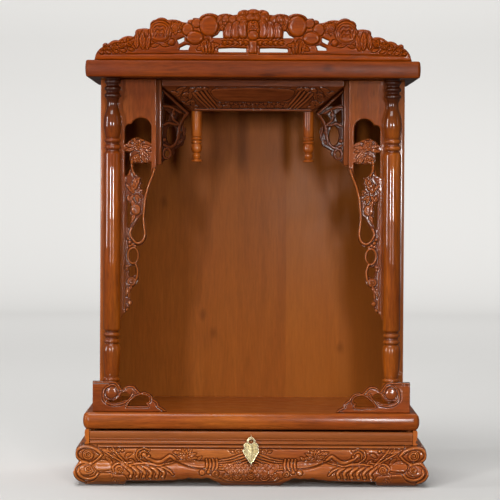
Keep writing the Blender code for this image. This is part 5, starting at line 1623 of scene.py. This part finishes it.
def hanging_blossoms(carver):
    """Two open flowers with leaves, then a bud on a beaded stalk."""
    for a, b, heading, length in (
        (52, 120, 12, 22), (52, 124, 28, 22), (54, 130, 38, 21), (56, 136, 48, 16), (44, 118, 186, 19),
        (44, 122, 165, 18), (46, 108, 215, 15), (52, 109, -32, 17), (50, 134, 150, 14), (47, 138, 110, 12),
        (56, 120, -12, 17),
    ):
        carver.leaf(a, b, heading, length, 3.8, 0.84, 12, 3)
    carver.blossom(48.2, 115.5, 9.4, 5, 1.0, 2, 0.3)
    carver.blossom(49.5, 139, 7.6, 5, 0.98, 2, 0.9)
    carver.stem([(40, 143), (38.6, 151), (40.5, 160), (44, 168)], 2.6, 0.95, 0.9)
    for b, a, radius in ((146.5, 39, 2.9), (152.5, 39, 3.2), (160, 40.8, 2.8)):
        carver.bead(a, b, radius)
    for a, b, heading, length, width in (
        (42, 200, 250, 20, 4.2), (44, 198, 215, 18, 3.8), (40, 196, 285, 16, 3.6), (44, 204, 20, 14, 3.4),
        (46, 206, 60, 12, 3.2), (42, 204, 120, 13, 3.4), (36, 192, 225, 12, 3.0), (34, 204, 95, 11, 3.0),
    ):
        carver.leaf(a, b, heading, length, width, 0.86, 18, 3)
    carver.leaf(41, 195, 292, 26, 6.2, 1.0, 14, 2)
    carver.leaf(46, 192, 262, 19, 4.6, 0.96, 10, 2)
    carver.scroll(57.5, 199, 4.8, 200, 1.1, 1, 2.0, 0.9)
    carver.bead(43, 186, 3.0)


def long_stem(carver):
    """The long curved rib, a bud inside its loop, a ring, a snail and two last berries."""
    carver.leaf(40, 212, 70, 20, 4.4, 0.86, 14)
    carver.disc(46.8, 229, 8.4, 9.6, 0.98)
    carver.groove([(43, 222), (45.5, 230), (45, 238)], 0.7, 0.22)
    carver.leaf(44.5, 238, 118, 16, 4.2, 0.98, -20, 2)
    carver.leaf(37, 246, 100, 14, 2.8, 0.8, -10)
    carver.stem(FACE_RIB, 2.5, 1.0, 0.96)
    for a, b, radius in ((36, 286, 3.4), (41, 291, 3.6), (36, 293, 3.0), (45.5, 293.5, 3.0), (33, 280, 2.8)):
        carver.bead(a, b, radius, 0.9)
    carver.stem(ring_line(42.2, 309.5, 9.0, 13.4, 20), 2.4, 1.0, 1.0)
    carver.stem([(45.5, 323), (49.4, 332), (49.8, 342), (47, 353), (42, 361)], 2.1, 0.95, 0.9)
    carver.scroll(31.5, 332, 5.0, 300, 1.0, -1, 2.0, 0.85)
    carver.coil(39.5, 355, 7.8, 0.98, 2.0, 1, 200)
    carver.leaf(38.5, 362, 96, 23, 4.8, 0.95, 12, 3)
    carver.leaf(32, 366, 95, 16, 3.2, 0.82, 8)
    carver.bead(37.5, 392.5, 5.0)
    carver.bead(32.5, 405, 3.4, 0.95)


def face_board_strokes(carver):
    hanging_blossoms(carver)
    long_stem(carver)
    carver.groove([(27, 196), (27, 300), (26, 404)], 0.8, 0.20)
    # Below and around the flowers the ground is sunk low and painted dark, as the shade seen through pierced
    # work.
    a, b = carver.points.T
    shade_ground_below_flowers = (a > 29) & (b > 168)
    shade_ground_around_flowers = (a > 36) & (a < 62) & (b > 104) & (b <= 168)
    return carver.finished(np.where(shade_ground_below_flowers | shade_ground_around_flowers, 0.14, 0.48), 0.32, 0.9)


# %% Carving the face boards
for side, node in ((-1, "left_face_board"), (1, "right_face_board")):
    low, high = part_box(node)
    unit = (high.z - low.z) / FACE_TALL
    outer = high.x if side > 0 else low.x
    face, rear = both_faces(low, high, MM, unit, outer, high.z, -side, down=True)
    carved_board(
        node, "carved_" + node, face_board_outline(), face_board_strokes, 0.85, 4.6, 1.8, face, rear,
        upright_finish,
    )

# %% [markdown]
# The corner brackets
#
# In each lower corner of the opening lies a small sawn bracket: a scroll with an open loop and a
# heart. It keeps the column's foot from spreading and hides the joint with the floor.

# %% The corner brackets
BRACKET_TALL = 52.5             # millimetres in the pattern


def corner_bracket_outline():
    outline = arcs([
        (0, 0, 0), (128.5, 0, 1.2), (118, 8.5, -0.8), (115.5, 13.5, 1.5), (106, 21.5, -0.8), (103, 28, 2.6),
        (83, 33.8, -0.6), (76.5, 41, 2.4), (62, 45.2, 1.6), (55, 41.5, -0.6), (51.5, 39, -0.8),
        (48.5, 42, 1.6), (38, BRACKET_TALL, 0), (0, BRACKET_TALL, 0),
    ])
    eye = arcs([
        (25, 19.5, 1), (36, 15, 1.5), (58, 20.5, 2), (64, 28.5, 1), (56, 33, 0.5), (49.5, 31.5, -1.8),
        (43, 21.5, -2), (31, 20.5, -0.5),
    ])
    heart = arcs([
        (61, 10, 0), (95, 10, 0.5), (92, 15, 0), (97, 18, 2), (94, 26, 1), (83, 28.5, 1), (70, 21, 1),
    ])
    return [outline, eye, heart]


def corner_bracket_strokes(carver):
    heart = spaced(corner_bracket_outline()[2], 1.5)
    carver.bead(33, 33, 11.5, 1.0)
    carver.stem([(30, 46.5), (38, 46), (43.5, 41), (45, 34)], 1.7, 0.95, 0.8)
    carver.stem([
        (29, 45), (21.6, 40), (18.7, 31.3), (19.4, 21.6), (25.4, 14.6), (36.2, 11.2), (47, 12.2), (58, 16.6),
        (66, 24.5), (69.7, 32),
    ], 1.6, 1.0, 0.9)
    carver.stem([(1.6, 50.6), (20, 50.7), (37.5, 50.6), (43, 47), (46.6, 41.5), (50.5, 36.5)], 1.5, 1.0, 1.0)
    carver.stem([
        (54, 39), (58, 42), (64, 43.6), (70, 43), (75, 39), (79, 34), (83, 31.6), (90, 32.6), (97, 30.6),
        (101.4, 25.6), (104.2, 20.8), (111, 16.4), (114, 9), (121, 4.6), (127, 0.6),
    ], 1.5, 1.0, 1.0)
    carver.rim(heart, -1.9, 1.3, 0.95)
    return carver.finished(0.70, 0.26, 1.2)


for side, node in ((-1, "left_corner_bracket"), (1, "right_corner_bracket")):
    low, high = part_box(node)
    outer = high.x if side > 0 else low.x
    face, rear = both_faces(low, high, MM, (high.z - low.z) / BRACKET_TALL, outer, low.z, -side)
    carved_board(
        node, "carved_" + node, corner_bracket_outline(), corner_bracket_strokes, 0.7, 3.2, 1.6, face,
        rear, bracket_finish,
    )

# %% [markdown]
# The canopy
#
# Under the top board hangs a carved canopy: an upright band, then a face that leans back as it
# comes down, so that it seems to sink into the niche. Scroll brackets close its slanting ends.

# %% The canopy
CANOPY_BAND = 12.0              # millimetres of upright band
CANOPY_RUN = 48 * MM            # how far back the lower edge leans
low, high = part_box("canopy")
canopy_front, canopy_top = low.y, high.z
CANOPY_DROP = (high.z - low.z) / MM
canopy_half = high.x / MM
CANOPY_HALF_BOTTOM = 108.0
canopy_thickness = high.y - canopy_front - CANOPY_RUN


def canopy_outline():
    return [arcs([
        (-canopy_half, 0, 0), (canopy_half, 0, 0), (canopy_half, CANOPY_BAND, 0),
        (CANOPY_HALF_BOTTOM, CANOPY_DROP, 0), (-CANOPY_HALF_BOTTOM, CANOPY_DROP, 0),
        (-canopy_half, CANOPY_BAND, 0),
    ])]


def canopy_strokes(carver):
    carver.panel([
        (-66, 34), (-72, 20), (-36, 16.5), (0, 15.5), (36, 16.5), (72, 20), (66, 34), (48, 38.5), (0, 39.5),
        (-48, 38.5),
    ], 0.66, 2.5)
    for a, b, heading, length in (
        (134, 21, 190, 18), (138, 30, 200, 16), (126, 34, 215, 17), (118, 44, 200, 16), (122, 26, 160, 17),
        (112, 36, 250, 15), (110, 48, 170, 14), (128, 42, 160, 13), (104, 24, 150, 14), (144, 24, 160, 13),
    ):
        carver.leaf(a, b, heading, length, 4.0, 0.88, 22, 3)
    for a, b, heading in ((112, 20, 185), (100, 18.5, 180), (89, 18, 178)):
        carver.leaf(a, b, heading, 12, 3.6, 1.0, 10, 2)
    carver.coil(120, 30, 5.0, 0.95, 1.5)
    carver.coil(106, 42, 4.6, 0.95, 1.5)
    for i in range(4):
        a = 7.0 * i
        carver.stem([(84 + a, 21 + 1.6 * i), (74 + a, 34 + 0.8 * i), (60 + a * 0.9, 50)], 2.3, 0.96, 0.9)
    carver.groove([(66, 15.2), (36, 13.4), (0, 12.8)], 0.9, 0.35)
    for i in range(4):
        a = 15.0 * i + 7.5
        carver.leaf(a + 1, 47, 15, 9, 2.8, 0.85, 20)
        carver.leaf(a, 47, 165, 9, 2.8, 0.85, -20)
    for i in range(5):
        carver.blossom(15.0 * i, 46.5, 5.6, 6, 0.98, 2)
    carver.stem([(0, 53), (40, 53), (104, 53)], 1.4, 0.9, 1.0)
    carver.groove([(0, 40.8), (30, 40.8), (58, 40.8)], 0.7, 0.25, False)
    return carver.finished(0.50, 0.40, 0.9)


def canopy_place(a, b, lift):
    lean = np.clip(b - CANOPY_BAND, 0, None) / (CANOPY_DROP - CANOPY_BAND)
    tilt = math.atan2(CANOPY_RUN / MM, CANOPY_DROP - CANOPY_BAND) * np.clip(lean * 20, 0, 1)
    y = canopy_front + CANOPY_RUN * lean - lift * MM * np.cos(tilt)
    return np.column_stack((a * MM, y, canopy_top - b * MM - lift * MM * np.sin(tilt)))


def canopy_behind(a, b):
    lean = np.clip(b - CANOPY_BAND, 0, None) / (CANOPY_DROP - CANOPY_BAND)
    return np.column_stack((a * MM, canopy_front + CANOPY_RUN * lean + canopy_thickness, canopy_top - b * MM))


carved_board(
    "canopy", "carved_canopy_board", canopy_outline(), canopy_strokes, 0.9, 4.0, 1.0, canopy_place,
    canopy_behind, canopy_finish, mirror=True,
)

# %% [markdown]
# The canopy's scroll brackets
#
# A pierced bracket closes each slanting end of the canopy: a coil of stems on a sunk ground that is
# painted dark as shade, set askew so that it faces the middle of the niche. It is sawn to follow the
# canopy's slope, and the brackets are painted darkest, as the shade of the niche's upper corners,
# with only small glints of lacquer on their beads.

# %% The canopy's scroll brackets
BRACKET_THICK = 9 * MM


def canopy_bracket_outline():
    slant = (CANOPY_DROP - CANOPY_BAND) / (canopy_half - CANOPY_HALF_BOTTOM)

    def under_canopy(a):
        return CANOPY_BAND + 3.5 + slant * a

    outline = arcs([
        (0, under_canopy(0), 0), (0, 147, 0), (6, 141, 2), (17, 134, 2.5), (21, 123, 1), (30, 118, 3),
        (38, 107, 2), (40, 95, 3), (37, 80, -2), (47, under_canopy(47) + 6, 0), (47, under_canopy(47), 0),
    ], down=True)
    holes = [
        oval(16, 97, 8.0, 17.0), arcs([(4, 25, 0), (4, 41, 0), (16, 44, -1), (26, 47, 0)], down=True),
        oval(9, 130, 3.8, 6.0), arcs([(4, 52, 0), (4, 74, 0), (10, 72, 0), (13, 60, 0)], down=True),
        arcs([(27, 62, 2), (26, 72, 0), (32, 72, 0), (38, 58, 1)], down=True),
    ]
    return [outline] + holes


def canopy_bracket_strokes(carver):
    carver.stem([(2, 18), (14, 30), (28, 43), (44, 57)], 2.6, 0.95, 0.9)
    carver.stem([(3, 47), (12, 47), (22, 51), (32, 57), (40, 62)], 2.6, 0.95, 0.8)
    carver.stem([(44, 58), (36, 68), (31, 80), (29, 95), (25, 110), (14, 119), (4, 115)], 3.0, 1.0, 0.8)
    carver.stem([(3, 80), (12, 76), (21, 78), (30, 78)], 2.6, 0.95, 0.8)
    carver.stem([(22, 50), (18, 60), (20, 70), (28, 76)], 2.2, 0.9, 0.8)
    carver.leaf(37, 78, 80, 22, 4.0, 0.9, 15)
    carver.leaf(34, 104, 120, 14, 3.4, 0.9, 20)
    carver.stem(ring_line(9, 130, 6.2, 8.6, 16), 2.4, 1.0, 1.0)
    for a, b in ((20, 59.7), (31, 91), (4.5, 106), (30, 109)):
        carver.bead(a, b, 3.6)
    carver.leaf(4, 120, 75, 20, 3.0, 0.85, 8)
    # The sunk ground is painted dark as shade.
    return carver.finished(0.16, 0.14)


for side, node in ((-1, "left_canopy_bracket"), (1, "right_canopy_bracket")):
    low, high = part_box(node)
    outer = high.x if side > 0 else low.x
    run = (high.y - low.y - BRACKET_THICK + 2 * MM) / (high.x - low.x)

    def face(a, b, lift, outer=outer, side=side, low=low, run=run):
        return np.column_stack((outer - side * a * MM, low.y + a * MM * run - lift * MM, canopy_top - b * MM))

    def rear(a, b, face=face):
        return face(a, b, np.full(len(a), -BRACKET_THICK / MM))

    carved_board(
        node, "carved_" + node, canopy_bracket_outline(), canopy_bracket_strokes, 0.7, 3.0, 1.8, face, rear,
        shaded_canopy_bracket_finish,
    )

# %% [markdown]
# The inside of the niche and of the drawer
#
# The back wall is made of upright boards, and the drawer runs on a plain shelf. Nobody lacquers the
# inside of a drawer: its wood is pale and only sanded. These are plain boards again, so the same
# function makes them all.

# %% Back wall, shelf and drawer box
eased_board("back_wall", back_finish, ease=0.1 * MM, longer=0.28 * MM)
drawer_finish = lacquered("drawer_wood", "X", (0.28, 0.14, 0.06), (0.42, 0.24, 0.12), (0.33, 0.17, 0.08), 0.4)
for node in ("drawer_bottom", "drawer_left_side", "drawer_right_side", "drawer_back"):
    eased_board(node, drawer_finish, "drawer", ease=0.6 * MM)
eased_board("drawer_shelf", drawer_finish, ease=0.6 * MM)

# %% [markdown]
# The drop pull
#
# The pull is a leaf of sheet brass that hangs on an eye. It is the only metal here, so it gets a
# finish of its own: full Metallic, a roughness that follows the brushing, and dark tarnish in the
# engraved veins. The plate is a small cut-out with grooves, made as the carved boards are. The eye
# is a ring of wire on a turned shank that goes into the drawer front.

# %% Brass
def brass_finish():
    recipe = Recipe("pale_brass")
    place = recipe.node("ShaderNodeTexCoord").outputs["Object"]
    cloud = recipe.noise(place, 120.0, 4.0)
    brushed = recipe.noise(stretched(recipe, "Z", 12.0), 90.0, 3.0)
    metal = recipe.mix(recipe.spread(cloud, 0.35, 0.70), (0.78, 0.60, 0.27, 1), (0.90, 0.76, 0.44, 1))
    edge = recipe.stored("edge")
    metal = recipe.mix(recipe.spread(edge, -0.01, -0.12, 0.0, 0.85), metal, (0.20, 0.12, 0.04, 1))
    metal = recipe.mix(recipe.spread(edge, 0.02, 0.12, 0.0, 0.6), metal, (1.0, 0.92, 0.66, 1))
    recipe.to_shader("Base Color", metal)
    recipe.to_shader("Roughness", recipe.spread(brushed, 0.3, 0.7, 0.24, 0.40))
    bump = recipe.node("ShaderNodeBump", {"Height": brushed, "Strength": 0.12, "Distance": 0.0002})
    recipe.to_shader("Normal", bump.outputs["Normal"])
    recipe.shader.inputs["Metallic"].default_value = 1.0
    return recipe.material


# %% The pull's plate
PULL_WIDE, PULL_TALL = 28.66, 49.0      # millimetres in the pattern


def pull_outline():
    outline = arcs(mirrored([
        (0, -PULL_TALL, 0.8), (14.25, -26.5, 1.4), (11, -19.5, 1.6), (12.2, -14.5, 1.6), (6.6, -10.4, 1.2),
        (7.2, -6, 1.2), (0, 0, 0),
    ]))
    return [outline, oval(0, -8.6, 3.7, 3.7, 28)]


def pull_strokes(carver):
    outline, hole = pull_outline()
    carver.rim(spaced(outline, 0.8), 1.1, 0.85, 1.0)
    carver.rim(hole, -1.0, 0.8, 1.0)
    carver.groove([(0, -15), (0.3, -30), (0, -45)], 0.34, 0.28)
    for start, reach in ((-18, 8.0), (-24, 9.5), (-30, 8.6), (-36, 5.5)):
        for side in (-1, 1):
            carver.groove([
                (0, start - 2.5), (side * reach * 0.5, start + 0.6), (side * reach, start + 1.6),
            ], 0.30, 0.22)
    return carver.finished(0.62, 0.20, 0.6)


brass = brass_finish()
low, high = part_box("pull_plate")
unit_a, unit_b = (high.x - low.x) / PULL_WIDE, (high.z - low.z) / PULL_TALL
face, rear = both_faces(low, high, unit_a, unit_b, 0.0, high.z)
carved_board(
    "pull_plate", "engraved_pull", pull_outline(), pull_strokes, 0.42, 0.5, 0.5, face, rear, brass,
    body="pull",
)

# %% The pull's eye
low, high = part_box("pull_eye")
wire = 0.8 * MM                 # radius of the wire
EYE_SIDES, WIRE_SIDES, SHANK_SIDES = 40, 14, 20
centre = Vector((0, low.y + (high.z - low.z) / 2, (low.z + high.z) / 2))
eye_radius = (high.z - low.z) / 2 - wire


def turns_of(sides):
    return [2 * math.pi * i / sides for i in range(sides)]


build = bmesh.new()
rings = []
for turn in turns_of(EYE_SIDES):
    out = Vector((0, math.cos(turn), math.sin(turn)))
    rings.append([
        build.verts.new(
            centre + out * (eye_radius + wire * math.cos(roll)) + Vector((wire * math.sin(roll), 0, 0))
        )
        for roll in turns_of(WIRE_SIDES)
    ])
skinned(build, rings + rings[:1], capped=False)
shank = [
    (centre.y + eye_radius - 0.3 * MM, 0.9 * MM), (centre.y + eye_radius + 1.2 * MM, 1.05 * MM),
    (high.y - 4.2 * MM, 1.1 * MM), (high.y - 3.4 * MM, 1.5 * MM), (high.y - 2.6 * MM, 1.5 * MM),
    (high.y, 1.4 * MM),
]
rings = []
for y, radius in shank:
    rings.append([
        build.verts.new((radius * math.cos(turn), y, centre.z + radius * math.sin(turn)))
        for turn in turns_of(SHANK_SIDES)
    ])
skinned(build, rings)
piece_from("pull_eye_wire", build, brass, "drawer", "pull_eye", 60.0)

# %% [markdown]
# A dressed part must not outgrow its construction, or it would touch what the plain solids clear.
# The noses of the base may stand a hair wider.
